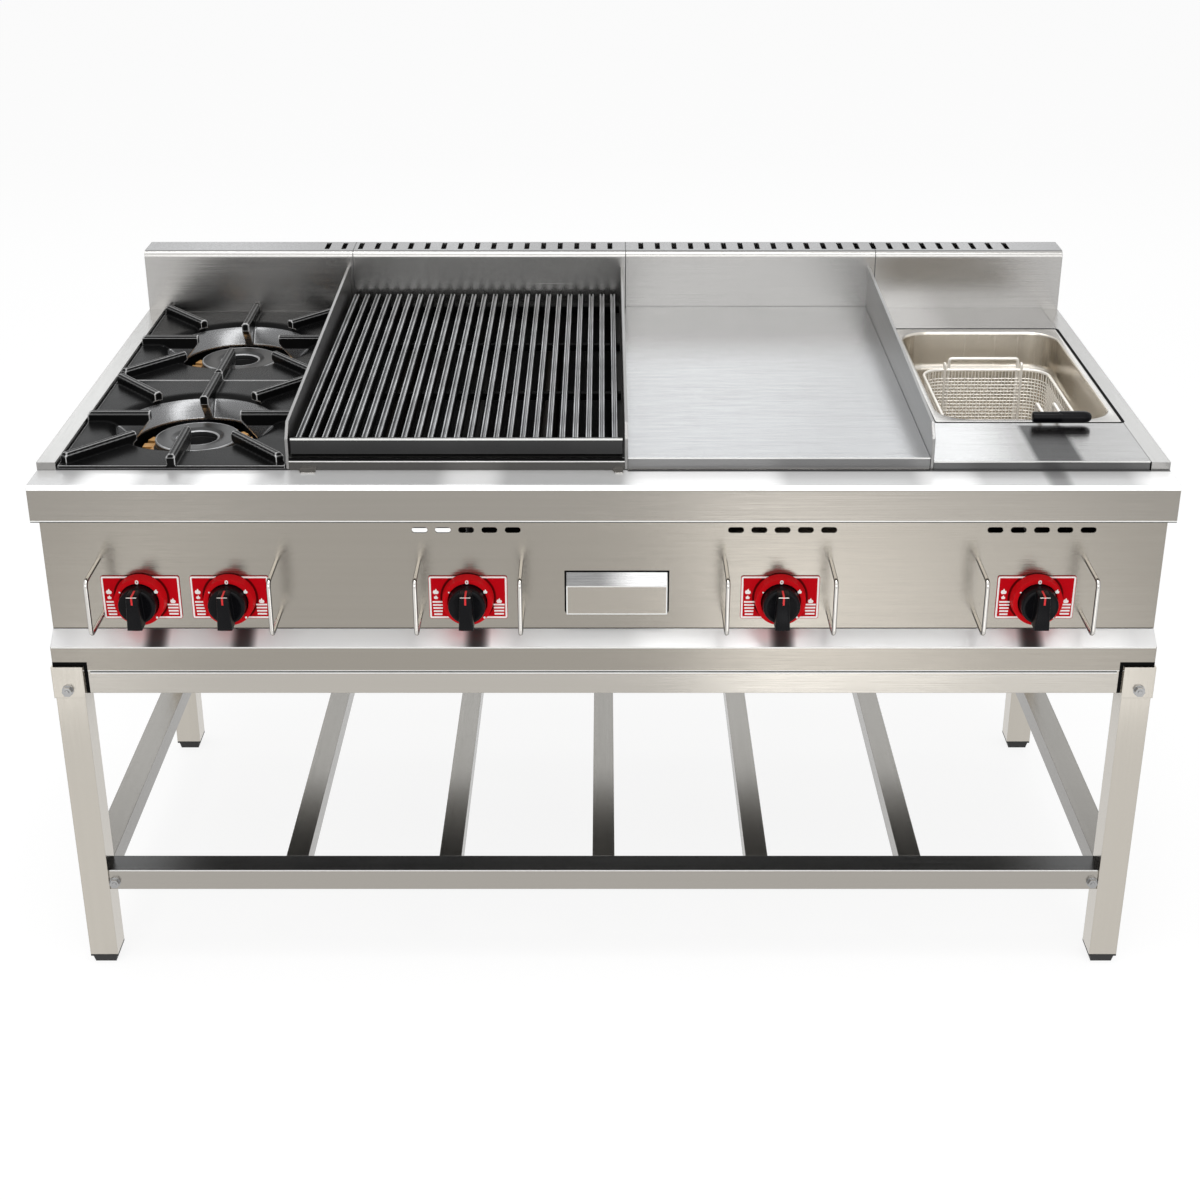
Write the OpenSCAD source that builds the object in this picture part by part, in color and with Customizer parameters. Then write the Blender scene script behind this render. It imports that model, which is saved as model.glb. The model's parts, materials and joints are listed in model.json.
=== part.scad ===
// Gas combination range on an open stand: two open burners, a charbroiler,
// a griddle and a fryer in one folded stainless body.
// Millimetres. The floor is z = 0, the controls face -y and the outline is
// centred on x = 0, y = 0. The modules are written with y = 0 at the deck's
// front edge, and range_place() moves each one to its place.

/* [Overall] */
// Width across the deck
deck_w = 1500; // [1440:10:1600]
// Depth from the deck's front edge to the back of the splash
deck_d = 828; // [800:2:880]
// Height of the deck's front rim above the floor
deck_z = 754; // [700:2:900]
// Height of the body from its underside to the deck's front rim
body_h = 275.5; // [270:0.5:300]
// Thickness of the folded sheets
sheet = 2; // [1.5:0.5:2.5]
// Gap left between a part that lifts or slides and its seat
seat_gap = 0.3; // [0.2:0.1:0.6]

/* [Stand] */
// Side of the square leg tube
leg = 40; // [34:1:46]
// Wall of the stand's tubes
tube_wall = 2; // [1.5:0.5:3]
// Distance from the deck's front edge back to the legs' front faces
leg_in = 11; // [8:1:20]
// Depth of the stand over its legs
stand_d = 678; // [600:2:700]
// Height of the foot that shows below a leg
foot_h = 15; // [10:1:25]
// How far a foot's plug reaches up inside its leg
foot_plug = 25; // [15:1:40]
// Height of a rail's section
rail_h = 32; // [26:1:38]
// Depth of a rail's section
rail_d = 38; // [30:1:38]
// Height of the upper rails' section
top_rail_h = 34; // [26:1:38]
// How far a rail lies behind the outer face of its legs
rail_in = 3; // [2:0.5:6]
// Height of the lower rails' underside above the floor
low_rail_z = 126; // [90:2:200]
// Number of shelf slats
slat_n = 5; // [3:1:7]
// Width of a shelf slat
slat_w = 32; // [24:1:40]
// Thickness of a shelf slat
slat_t = 30; // [20:1:32]
// Thickness of a corner bracket
bracket_t = 2; // [1.5:0.5:3]
// Width of a corner bracket's plates
bracket_w = 43; // [36:1:46]
// Height of a corner bracket
bracket_h = 47; // [42:1:60]
// How far a corner bracket reaches up past the body's underside
bracket_up = 7.5; // [4:0.5:12]
// Radius of the stand's bolts
bolt_r = 4; // [3:0.5:5]

/* [Deck] */
// Depth of the deck's front strip
front_rim = 58; // [50:1:70]
// Height of the apron under the front strip
apron_h = 50; // [44:1:60]
// Radius of the apron's top edge
apron_r = 7; // [5:1:12]
// Width of a side rim
rim_w = 25; // [20:1:32]
// Height of a side rim above the front strip
rim_up = 11; // [8:0.5:14]
// Width of the burner section
burner_w = 307; // [300:1:320]
// Share of the width beside the burners that the charbroiler takes
char_share = 0.392; // [0.36:0.002:0.42]
// Share of the width beside the burners that the griddle takes
griddle_share = 0.3543; // [0.32:0.0001:0.37]

/* [Splash] */
// Height of the splash above the front strip
splash_h = 108; // [90:1:140]
// Depth of the splash box
splash_d = 61; // [56:1:80]
// Radius of the splash's top front edge
splash_r = 10; // [3:0.5:14]
// How far the splash box reaches down behind the body
flue_drop = 54; // [40:1:70]
// How far the splash box stands out behind the body
flue_out = 40; // [30:1:46]
// Width of a vent slot in the splash
vent_w = 8; // [5:0.5:10]
// Length of a vent slot in the splash
vent_l = 40; // [20:1:42]
// Corner radius of a vent slot in the splash
vent_r = 2; // [1:0.5:3]
// Distance between vent slots
vent_pitch = 27.3; // [20:0.1:28]
// Number of vent slots in the left splash
vent_left = 18; // [8:1:20]
// Number of vent slots in the right splash
vent_right = 23; // [8:1:24]

/* [Underside] */
// Width of a vent in the bottom pan
vent_hole_w = 130; // [90:2:134]
// Length of a vent in the bottom pan
vent_hole_l = 520; // [400:10:560]
// Corner radius of a vent in the bottom pan
vent_hole_r = 12; // [6:1:30]
// Distance between vents in the bottom pan
vent_hole_pitch = 177.5; // [170:0.5:180]
// Distance from a side rim's inner edge to the middle of the nearest vent
vent_hole_in = 68; // [67:0.5:72]

/* [Control panel] */
// Distance from the deck's front edge back to the panel
panel_in = 38; // [30:1:46]
// Distance from the deck's front edge back to the lower band
band_in = 13; // [8:1:20]
// Height of the lower band
band_h = 36.5; // [30:0.5:44]
// Height of the sloping ledge above the band
ledge_h = 16; // [10:0.5:24]
// Height of the knobs' axes above the body's underside
knob_up = 100; // [94:0.5:112]
// Length of an air slot in the panel
slot_l = 21; // [14:0.5:26]
// Height of an air slot in the panel
slot_h = 8; // [5:0.5:11]
// Distance between air slots
slot_pitch = 31; // [28:0.5:36]
// Distance from the front strip down to the air slots
slot_down = 77.5; // [66:0.5:84]
// Distance between the two burner knobs
burner_knob_pitch = 120; // [112:1:124]

/* [Knobs] */
// Width of a dial plate
plate_w = 106; // [84:1:108]
// Height of a dial plate
plate_h = 63; // [50:1:66]
// Thickness of a dial plate
plate_t = 1.5; // [1:0.5:3]
// Outer radius of a dial ring
ring_r = 35; // [31:0.5:40]
// Depth of a dial ring
ring_d = 17.5; // [8:0.5:22]
// Radius of a knob's skirt
knob_r = 26; // [22:0.5:28]
// Depth of a knob's skirt
skirt_d = 30; // [10:0.5:34]
// Depth of a whole knob
knob_d = 51; // [40:1:56]
// Width of a knob's grip at its upper end
grip_w = 15; // [12:0.5:20]
// Width of a knob's grip at its lower end
grip_low_w = 20; // [14:0.5:24]
// Travel of a knob when it is pushed in
push = 3; // [1.5:0.5:4]
// Radius of a valve stem
stem_r = 4; // [3:0.5:5]
// Clearance round a valve stem
stem_gap = 0.05; // [0.02:0.01:0.1]

/* [Knob guards] */
// Radius of a guard's rod
rod_r = 3; // [2:0.5:4]
// How far a guard stands out from the panel
guard_reach = 70; // [62:1:80]
// Height of a guard between its two roots
guard_h = 77; // [60:1:84]
// Bend radius of a guard's rod
guard_bend = 8; // [6:0.5:14]
// Distance from a knob's axis to the middle of a guard beside it
guard_off = 65; // [58:1:72]
// Height of a guard's middle above the knobs' axes
guard_up = 13; // [8:0.5:18]

/* [Open burners] */
// Thickness of a burner grate's plate
cast_t = 5; // [4:0.5:7]
// Outer radius of a grate's bowl
bowl_r = 125; // [115:1:135]
// Inner radius of a grate's bowl
bowl_in_r = 88; // [84:1:96]
// Depth of a grate's bowl
bowl_d = 27; // [18:1:32]
// Height of the fingers above a grate's plate
finger_h = 15; // [10:1:24]
// Width of a grate finger
finger_w = 12; // [9:0.5:16]
// Distance from a burner's axis to the tips of the side fingers
tip_r = 63; // [61:1:70]
// Distance from a burner's axis to the tips of the corner fingers
corner_tip_r = 106; // [100:1:124]
// Outer radius of a burner cap
cap_r = 59; // [50:1:60]
// Radius of the hole in a burner cap
cap_hole_r = 27.5; // [20:0.5:32]
// Thickness of a burner cap
cap_t = 10; // [6:0.5:14]
// Depth of a burner cap's top below the grate's plate
cap_down = 23; // [20:1:26]
// Depth of the tray below the burner grates
tray_d = 115; // [105:1:125]

/* [Charbroiler] */
// Number of bars in the charbroiler's grate
bar_n = 25; // [15:1:27]
// Width of a bar
bar_w = 8; // [6:0.5:9]
// Gap left between the grate and the firebox's sides
grate_gap = 3; // [2:0.5:6]
// Height of a bar
bar_h = 18; // [12:1:24]
// Width of the groove along a bar
groove_w = 3; // [2:0.5:4]
// Depth of the groove along a bar
groove_d = 5; // [3:0.5:8]
// Height of the firebox's top above the front strip
firebox_up = 17; // [14:0.5:20]
// Depth of the firebox
firebox_d = 100; // [92:1:130]
// Number of radiant covers in the firebox
radiant_n = 4; // [2:1:6]
// Thickness of a splash guard plate
guard_t = 4; // [3:0.5:5]
// Height of a splash guard's front edge above the front strip
guard_front = 43; // [34:1:60]
// Height of a splash guard's back end above the front strip
guard_back = 81; // [70:1:84]
// Size of the chamfer at a splash guard's front corner
guard_cut = 18; // [10:1:30]

/* [Griddle] */
// Thickness of the griddle plate
griddle_t = 15; // [10:1:20]
// Depth of the griddle's box
griddle_box_d = 115; // [90:1:130]

/* [Fryer] */
// Height of the fryer's top above the front strip
fryer_up = 13; // [11:0.5:18]
// Width of the strip of deck left beside the fryer pan
fryer_edge = 25; // [20:1:40]
// Depth of the fryer pan over its flange
pan_l = 438; // [400:1:450]
// Width of the fryer pan's flange
pan_flange = 9; // [6:0.5:14]
// Gap round the fryer pan's flange
pan_gap = 2; // [1:0.5:3]
// Corner radius of the fryer pan
pan_r = 45; // [30:1:60]
// Depth of the fryer pan
pan_d = 160; // [140:1:165]
// Distance from the deck's front edge back to the pan
pan_in = 210; // [190:1:230]
// Width of the basket
basket_w = 194; // [150:1:200]
// Length of the basket
basket_l = 290; // [240:1:330]
// Height of the basket
basket_h = 124; // [100:1:130]
// Radius of the basket's rim wire
wire_r = 2.5; // [1.5:0.5:3.5]
// Thickness of the basket's walls
mesh_t = 2; // [1.5:0.5:3]
// Corner radius of the basket
basket_r = 34; // [24:1:44]
// Length of the basket's handle
handle_l = 82; // [76:1:100]
// Radius of the handle's grip
handle_r = 9; // [7:0.5:11]

/* [Grease drawer] */
// Width of the grease drawer's front
drawer_w = 136; // [110:1:150]
// Height of the grease drawer's front
drawer_h = 58; // [48:1:62]
// Length of the grease drawer's box
drawer_l = 400; // [300:5:480]
// Middle of the grease drawer to the right of the range's middle
drawer_x = 18; // [0:1:30]
// Distance from the body's underside up to the grease drawer
drawer_up = 78.5; // [76:0.5:84]
// How far the drawer's pull stands out from the panel
pull_out = 10; // [8:0.5:16]

/* [Gas train] */
// Radius of the manifold pipe
pipe_r = 13.5; // [10:0.5:14]
// Radius of the inlet's thread
inlet_r = 13.2; // [9:0.1:13.4]
// Length of the inlet that stands out behind the body
inlet_l = 34; // [20:1:36]
// Radius of a burner's feed tube
feed_r = 5; // [3:0.5:6]
// Radius of a straight burner tube
tube_r = 16; // [12:1:18]
// Distance from a box's front sheet to its straight burner
burner_inset = 42; // [34:1:60]
// Height of a straight burner's axis above its box's floor
burner_rise = 45; // [40:1:50]
// Width of a gas valve
valve_w = 24; // [20:1:30]
// Length of a gas valve
valve_l = 48; // [40:1:60]

/* [Hidden] */
$fn = 48;
over = 1;

// Heights
body_z = deck_z - body_h;
rim_z = deck_z + rim_up;
splash_z = deck_z + splash_h;
cast_z = deck_z + 1;
knob_z = body_z + knob_up;
firebox_z = deck_z + firebox_up;
fryer_z = deck_z + fryer_up;

// Depths
guard_out = guard_reach - panel_in;
deck_y = -(deck_d - guard_out) / 2;
splash_y = deck_d - splash_d;
body_back = deck_d - flue_out;
well_l = splash_y - front_rim;
well_y = front_rim;

// Widths of the four sections, from the left
well_x0 = -deck_w / 2 + rim_w;
well_x4 = deck_w / 2 - rim_w;
guard_x1 = well_x0 + burner_w;
char_w = (well_x4 - guard_x1) * char_share;
griddle_w = (well_x4 - guard_x1) * griddle_share;
guard_x2 = guard_x1 + char_w;
guard_x3 = guard_x2 + griddle_w;
burner_x = (well_x0 + guard_x1 - guard_t / 2) / 2;
char_x = (guard_x1 + guard_x2) / 2;
griddle_x = (guard_x2 + guard_x3) / 2;

// Knobs
knob_x = [burner_x - burner_knob_pitch / 2 + 8, burner_x + burner_knob_pitch / 2 + 8, char_x + 11,
    griddle_x + 6, (guard_x3 + well_x4) / 2 + 4];
guard_xs = [knob_x[0] - guard_off + 10, knob_x[1] + guard_off, knob_x[2] - guard_off,
    knob_x[2] + guard_off + 8, knob_x[3] - guard_off - 10, knob_x[3] + guard_off + 2,
    knob_x[4] - guard_off - 15, knob_x[4] + guard_off];
steel = [0.78, 0.77, 0.74];
iron = [0.26, 0.27, 0.28];

module range_place() {
    translate([0, deck_y, 0])
        children();
}

// Shapes used more than once

// A box given by its lowest corner and its highest corner
module span(low, high) {
    translate(low)
        cube(high - low);
}

// A rectangle with rounded corners, centred
module round_rect(w, l, r) {
    square([w - 2 * r, l], center = true);
    square([w, l - 2 * r], center = true);
    for (x = [-1, 1], y = [-1, 1])
        translate([x * (w / 2 - r), y * (l / 2 - r)])
            circle(r);
}

// A slot with round ends, centred, long side along x
module slot_shape(l, h) {
    square([l - h, h], center = true);
    for (x = [-1, 1])
        translate([x * (l - h) / 2, 0])
            circle(h / 2);
}

// A profile drawn as (y, z) points and drawn out along x
module along_x(x0, x1) {
    translate([x0, 0, 0])
        rotate([90, 0, 90])
            linear_extrude(x1 - x0)
                children();
}

// A square tube along z with its corner at the origin
module tube_z(w, d, h) {
    difference() {
        cube([w, d, h]);
        translate([tube_wall, tube_wall, -over])
            cube([w - 2 * tube_wall, d - 2 * tube_wall, h + 2 * over]);
    }
}

// A tube along x from x0 to x1
module tube_x(x0, x1, y0, z0, d, h) {
    difference() {
        span([x0, y0, z0], [x1, y0 + d, z0 + h]);
        span([x0 - over, y0 + tube_wall, z0 + tube_wall],
            [x1 + over, y0 + d - tube_wall, z0 + h - tube_wall]);
    }
}

// A tube along y from y0 to y1
module tube_y(y0, y1, x0, z0, w, h) {
    difference() {
        span([x0, y0, z0], [x0 + w, y1, z0 + h]);
        span([x0 + tube_wall, y0 - over, z0 + tube_wall],
            [x0 + w - tube_wall, y1 + over, z0 + h - tube_wall]);
    }
}

// A cylinder along -y whose front face is at y0
module rod_y(r, y0, y1) {
    translate([0, y1, 0])
        rotate([90, 0, 0])
            cylinder(r = r, h = y1 - y0);
}

// A round tube or rod through a list of points
module pipe_run(points, r) {
    for (i = [0 : len(points) - 2]) {
        step = points[i + 1] - points[i];
        translate(points[i])
            rotate([0, acos(step[2] / norm(step)), atan2(step[1], step[0])])
                cylinder(r = r, h = norm(step));
    }
    for (i = [1 : 1 : len(points) - 2])
        translate(points[i])
            sphere(r);
}

// A folded box open at the top, with a flange turned inwards round its mouth
module well_box(x0, x1, z0, z1, flange) {
    y0 = well_y;
    y1 = splash_y;
    difference() {
        span([x0, y0, z0], [x1, y1, z1]);
        span([x0 + sheet, y0 + sheet, z0 + sheet], [x1 - sheet, y1 - sheet, z1 - sheet]);
        span([x0 + flange, y0 + flange, z1 - sheet - over], [x1 - flange, y1 - flange, z1 + over]);
    }
}

// Stand

leg_x = deck_w / 2 - leg;
leg_y0 = leg_in;
leg_y1 = leg_in + stand_d - leg;
inner_x = leg_x;
rail_y0 = leg_y0 + rail_in;
rail_y1 = leg_y1 + leg - rail_in - rail_d;
top_rail_z = body_z - top_rail_h;
bolt_x = leg_x + leg / 2 + 2;
bracket_z = body_z + bracket_up - bracket_h;
bracket_bolt_z = bracket_z + 12;
low_bolt_x = leg_x - 8;
low_bolt_z = low_rail_z + 12;

module leg_at(x, y, front) {
    color(steel)
        difference() {
            translate([x, y, foot_h])
                tube_z(leg, leg, body_z - foot_h);
            translate([sign(x) * bolt_x, front ? y : y + leg - tube_wall, bracket_bolt_z])
                rod_y(bolt_r + seat_gap, -over, tube_wall + over);
        }
}

module leg_front_left() { leg_at(-leg_x - leg, leg_y0, true); }
module leg_front_right() { leg_at(leg_x, leg_y0, true); }
module leg_rear_left() { leg_at(-leg_x - leg, leg_y1, false); }
module leg_rear_right() { leg_at(leg_x, leg_y1, false); }

module foot() {
    foot_w = leg - 4;
    plug_w = leg - 2 * tube_wall - 2 * seat_gap;
    hull() {
        translate([-foot_w / 2 + 3, -foot_w / 2 + 3, 0])
            cube([foot_w - 6, foot_w - 6, 1]);
        translate([-foot_w / 2, -foot_w / 2, foot_h - 1])
            cube([foot_w, foot_w, 1]);
    }
    translate([-plug_w / 2, -plug_w / 2, foot_h - over])
        cube([plug_w, plug_w, foot_plug + over]);
    translate([-leg / 2, -leg / 2, foot_h - 3])
        cube([leg, leg, 3]);
}

module leg_feet() {
    color([0.08, 0.08, 0.08])
        for (x = [-1, 1], y = [leg_y0, leg_y1])
            translate([x * (leg_x + leg / 2), y + leg / 2, 0])
                foot();
}

// One corner bracket, drawn at the front right corner
module bracket() {
    difference() {
        union() {
            span([deck_w / 2 + bracket_t - bracket_w, leg_y0 - bracket_t, bracket_z],
                [deck_w / 2 + bracket_t, leg_y0, bracket_z + bracket_h]);
            span([deck_w / 2, leg_y0 - bracket_t, bracket_z],
                [deck_w / 2 + bracket_t, leg_y0 - bracket_t + bracket_w, bracket_z + bracket_h]);
        }
        translate([bolt_x, 0, bracket_bolt_z])
            rod_y(bolt_r + seat_gap, leg_y0 - bracket_t - over, leg_y0 + over);
    }
}

// Copies a front right piece to all four corners of the stand
module four_corners() {
    stand_mid = leg_in + stand_d / 2;
    for (side = [0, 1], end = [0, 1])
        mirror([side, 0, 0])
            translate([0, stand_mid, 0])
                mirror([0, end, 0])
                    translate([0, -stand_mid, 0])
                        children();
}

module corner_brackets() {
    color(steel)
        difference() {
            four_corners()
                bracket();
            span([-deck_w / 2, leg_in + stand_d / 2, body_z],
                [deck_w / 2, leg_in + stand_d + bracket_t + over, body_z + bracket_up + over]);
        }
}

module upper_rail_front() {
    color(steel)
        tube_x(-inner_x, inner_x, rail_y0, top_rail_z, rail_d, top_rail_h);
}

module upper_rail_rear() {
    color(steel)
        tube_x(-inner_x, inner_x, rail_y1, top_rail_z, rail_d, top_rail_h);
}

module side_rails(z, h) {
    for (side = [0, 1])
        mirror([side, 0, 0])
            tube_y(leg_y0 + leg, leg_y1, leg_x, z, leg - rail_in, h);
}

module upper_side_rails() {
    color(steel)
        side_rails(top_rail_z, top_rail_h);
}

module lower_side_rails() {
    color(steel)
        side_rails(low_rail_z, rail_h);
}

module low_rail(y, wall_y) {
    difference() {
        tube_x(-inner_x, inner_x, y, low_rail_z, rail_d, rail_h);
        for (side = [-1, 1])
            translate([side * low_bolt_x, wall_y, low_bolt_z])
                rod_y(bolt_r + seat_gap, -over, tube_wall + over);
    }
}

module lower_rail_front() {
    color(steel)
        low_rail(rail_y0, rail_y0);
}

module lower_rail_rear() {
    color(steel)
        low_rail(rail_y1, rail_y1 + rail_d - tube_wall);
}

module shelf_slats() {
    slat_pitch = 2 * inner_x / (slat_n + 1) * 0.938;
    color(steel)
        for (i = [0 : slat_n - 1])
            tube_y(rail_y0 + rail_d, rail_y1, (i - (slat_n - 1) / 2) * slat_pitch - slat_w / 2,
                low_rail_z + rail_h - slat_t, slat_w, slat_t);
}

// A bolt along +y whose washer seats at y = 0
module bolt() {
    washer_t = 1.5;
    head_h = 2 * bolt_r * 0.7;
    rod_y(bolt_r, 0, 14);
    rod_y(2 * bolt_r, -washer_t, 0);
    translate([0, -washer_t, 0])
        rotate([90, 0, 0])
            cylinder(r = 1.8 * bolt_r, h = head_h, $fn = 6);
    rod_y(bolt_r * 0.8, -washer_t - head_h - 1.5, -washer_t);
}

module frame_bolts() {
    color([0.7, 0.7, 0.7])
        four_corners() {
            translate([bolt_x, leg_y0 - bracket_t, bracket_bolt_z])
                bolt();
            translate([low_bolt_x, rail_y0, low_bolt_z])
                bolt();
        }
}

// Body

panel_bot = body_z + band_h + ledge_h;
ledge_z = body_z + band_h;
apron_z = deck_z - apron_h;
slot_z = deck_z - slot_down;
drawer_z = body_z + drawer_up;
drawer_gap = 2;
stem_hole_r = stem_r + 3;
return_l = 32;

module panel_profile() {
    polygon([[panel_in, deck_z - sheet], [panel_in, panel_bot], [band_in, ledge_z],
        [band_in, body_z], [band_in + return_l, body_z], [band_in + return_l, body_z + sheet],
        [band_in + sheet, body_z + sheet], [band_in + sheet, ledge_z - sheet / 2],
        [panel_in + sheet, panel_bot - sheet / 2], [panel_in + sheet, deck_z - sheet]]);
}

module control_panel() {
    color(steel)
        difference() {
            along_x(-deck_w / 2, deck_w / 2)
                panel_profile();
            for (k = [0 : 4])
                translate([knob_x[k], 0, knob_z])
                    rod_y(stem_hole_r, panel_in - over, panel_in + sheet + over);
            for (k = [2 : 4], i = [-2 : 2])
                translate([knob_x[k] + i * slot_pitch, panel_in + sheet + over, slot_z])
                    rotate([90, 0, 0])
                        linear_extrude(sheet + 2 * over)
                            slot_shape(slot_l, slot_h);
            span([drawer_x - drawer_w / 2 - drawer_gap, panel_in - over, drawer_z - drawer_gap],
                [drawer_x + drawer_w / 2 + drawer_gap, panel_in + sheet + over,
                drawer_z + drawer_h + drawer_gap]);
            for (side = [0, 1])
                mirror([side, 0, 0])
                    span([deck_w / 2 - sheet, panel_in - over, apron_z],
                        [deck_w / 2 + over, panel_in + sheet + over, deck_z]);
        }
}

// The left side sheet with the rim folded over its top
module side_panel() {
    flue_z = deck_z - flue_drop;
    difference() {
        union() {
            along_x(-deck_w / 2, -deck_w / 2 + sheet)
                polygon([[band_in + sheet, body_z], [band_in + sheet, ledge_z - sheet / 2],
                    [panel_in + sheet, panel_bot - sheet / 2], [panel_in + sheet, apron_z],
                    [front_rim, apron_z], [front_rim, rim_z], [splash_y, rim_z],
                    [splash_y, flue_z], [body_back, flue_z], [body_back, body_z]]);
            span([-deck_w / 2, front_rim, rim_z - sheet], [well_x0, splash_y, rim_z]);
            span([well_x0 - sheet, front_rim, deck_z - 26], [well_x0, splash_y, rim_z]);
            span([-deck_w / 2, front_rim, deck_z], [well_x0, front_rim + sheet, rim_z]);
        }
        span([-deck_w / 2 - over, 0, body_z - over],
            [-deck_w / 2 + sheet + over, band_in + return_l, body_z + sheet]);
    }
}

module side_panel_left() {
    color(steel)
        side_panel();
}

module side_panel_right() {
    color(steel)
        mirror([1, 0, 0])
            side_panel();
}

inlet_x = deck_w / 2 - 60;
inlet_z = body_z + 56.5;

module rear_panel() {
    color(steel)
        difference() {
            span([-deck_w / 2 + sheet, body_back - sheet, body_z + sheet],
                [deck_w / 2 - sheet, body_back, deck_z - flue_drop]);
            translate([inlet_x, 0, inlet_z])
                rod_y(pipe_r + 1, body_back - sheet - over, body_back + over);
        }
}

module bottom_pan() {
    vent_xs = concat([for (i = [0 : 2]) well_x0 + vent_hole_in + i * vent_hole_pitch],
        [for (i = [1, 2]) well_x4 - vent_hole_in - i * vent_hole_pitch]);
    color(steel)
        difference() {
            span([-deck_w / 2 + sheet, band_in + return_l, body_z],
                [deck_w / 2 - sheet, body_back, body_z + sheet]);
            for (x = vent_xs)
                translate([x, leg_in + stand_d / 2, body_z - over])
                    linear_extrude(sheet + 2 * over)
                        round_rect(vent_hole_w, vent_hole_l, vent_hole_r);
        }
}

module apron_profile() {
    translate([apron_r, 0])
        square([front_rim - apron_r, apron_h]);
    square([apron_r + over, apron_h - apron_r]);
    translate([apron_r, apron_h - apron_r])
        circle(apron_r);
}

module apron_hollow() {
    inner_r = apron_r - sheet;
    translate([apron_r, sheet])
        square([front_rim - apron_r - sheet, apron_h - 2 * sheet]);
    translate([sheet, sheet])
        square([apron_r, apron_h - apron_r - sheet]);
    translate([apron_r, apron_h - apron_r])
        circle(inner_r);
    translate([band_in + 15, -over])
        square([front_rim, apron_h - 22 + over]);
}

module deck_front() {
    color(steel)
        difference() {
            along_x(-deck_w / 2, deck_w / 2)
                translate([0, apron_z])
                    apron_profile();
            along_x(-deck_w / 2 + sheet, deck_w / 2 - sheet)
                translate([0, apron_z])
                    apron_hollow();
        }
}

// One splash box from x0 to x1 with a row of vent slots
module splash(x0, x1, first_x, count) {
    flue_z = deck_z - flue_drop;
    difference() {
        along_x(x0, x1)
            union() {
                translate([splash_y, flue_z])
                    square([splash_d, splash_z - flue_z - splash_r]);
                translate([splash_y + splash_r, flue_z])
                    square([splash_d - splash_r, splash_z - flue_z]);
                translate([splash_y + splash_r, splash_z - splash_r])
                    circle(splash_r);
            }
        along_x(x0 + sheet, x1 - sheet)
            union() {
                translate([splash_y + sheet, flue_z + sheet])
                    square([splash_d - 2 * sheet, splash_z - flue_z - splash_r - sheet]);
                translate([splash_y + splash_r, flue_z + sheet])
                    square([splash_d - splash_r - sheet, splash_z - flue_z - 2 * sheet]);
                translate([splash_y + splash_r, splash_z - splash_r])
                    circle(splash_r - sheet);
                translate([splash_y + sheet, flue_z - over])
                    square([body_back - splash_y - 3 * sheet, 3 * sheet]);
            }
        for (i = [0 : count - 1])
            translate([first_x + i * vent_pitch, (splash_y + splash_r + deck_d) / 2, splash_z - sheet - over])
                linear_extrude(sheet + 2 * over)
                    round_rect(vent_w, vent_l, vent_r);
    }
}

seam_x = guard_x2 + 6;
vent_edge = 25.5;

module splash_left() {
    color(steel)
        splash(-deck_w / 2, seam_x, seam_x - vent_edge - (vent_left - 1) * vent_pitch, vent_left);
}

module splash_right() {
    color(steel)
        splash(seam_x, deck_w / 2, seam_x + vent_edge, vent_right);
}

// Open burners

tray_x1 = guard_x1 - guard_t / 2;
tray_flange = 14;
cell_l = well_l / 2;
burner_ys = [well_y + cell_l / 2, well_y + cell_l * 3 / 2];
tray_z = cast_z - tray_d;
cap_top = cast_z + cast_t - cap_down;
head_top = cap_top - cap_t - seat_gap;
mouth_z = tray_z + 37;
mouth_l = 95;

module burner_tray() {
    color([0.35, 0.35, 0.36])
        difference() {
            well_box(well_x0, tray_x1, tray_z, cast_z, tray_flange);
            for (y = burner_ys)
                translate([burner_x, y - mouth_l - 22, tray_z - over])
                    cylinder(r = feed_r + 2, h = sheet + 2 * over);
        }
}

module burner_head() {
    column_r = 20;
    shoulder = 21;
    color([0.22, 0.2, 0.18])
        difference() {
            union() {
                rotate_extrude()
                    polygon([[0, tray_z + sheet], [42, tray_z + sheet], [42, tray_z + sheet + 4],
                        [column_r, tray_z + sheet + 12], [column_r, head_top - shoulder - 16],
                        [cap_r - 4, head_top - shoulder], [cap_r + 3, head_top - 8],
                        [cap_r + 3, head_top - 3], [cap_r, head_top], [cap_hole_r, head_top],
                        [cap_hole_r, head_top - 12], [0, head_top - 12]]);
                translate([0, 0, mouth_z])
                    rod_y(14, -mouth_l, 0);
                translate([0, 0, mouth_z])
                    rod_y(18, -mouth_l, -mouth_l + 14);
            }
            translate([0, 0, mouth_z])
                rod_y(11, -mouth_l - over, -column_r);
        }
}

module burner_heads() {
    for (y = burner_ys)
        translate([burner_x, y, 0])
            burner_head();
}

module burner_cap(y) {
    edge = 2;
    color(iron)
        translate([burner_x, y, 0])
            rotate_extrude()
                polygon([[cap_hole_r, cap_top - cap_t], [cap_r, cap_top - cap_t],
                    [cap_r, cap_top - edge], [cap_r - edge, cap_top], [cap_hole_r + 8, cap_top],
                    [cap_hole_r, cap_top - 3]]);
}

module burner_cap_front() { burner_cap(burner_ys[0]); }
module burner_cap_rear() { burner_cap(burner_ys[1]); }

cast_w = tray_x1 - well_x0 - 4;
cast_l = cell_l - 3;
cast_low = cast_z + seat_gap;
cast_top = cast_z + cast_t;
finger_top = cast_top + finger_h;

// Height of the bowl's upper face at a radius: a quarter wave between its two rims
function bowl_z(r) = cast_top - bowl_d * (1 - sin(90 * (r - bowl_in_r) / (bowl_r - bowl_in_r)));

bowl_wall = 4;
bowl_steps = 8;
bowl_line = [for (i = [0 : bowl_steps]) bowl_in_r + i * (bowl_r - bowl_in_r) / bowl_steps];

module bowl() {
    rotate_extrude()
        polygon(concat([for (r = bowl_line) [r, bowl_z(r)]], [[bowl_r + 6, cast_top], [bowl_r + 6, cast_low]],
            [for (i = [bowl_steps : -1 : 0]) [bowl_line[i] + 1, bowl_z(bowl_line[i]) - bowl_wall]]));
}

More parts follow.
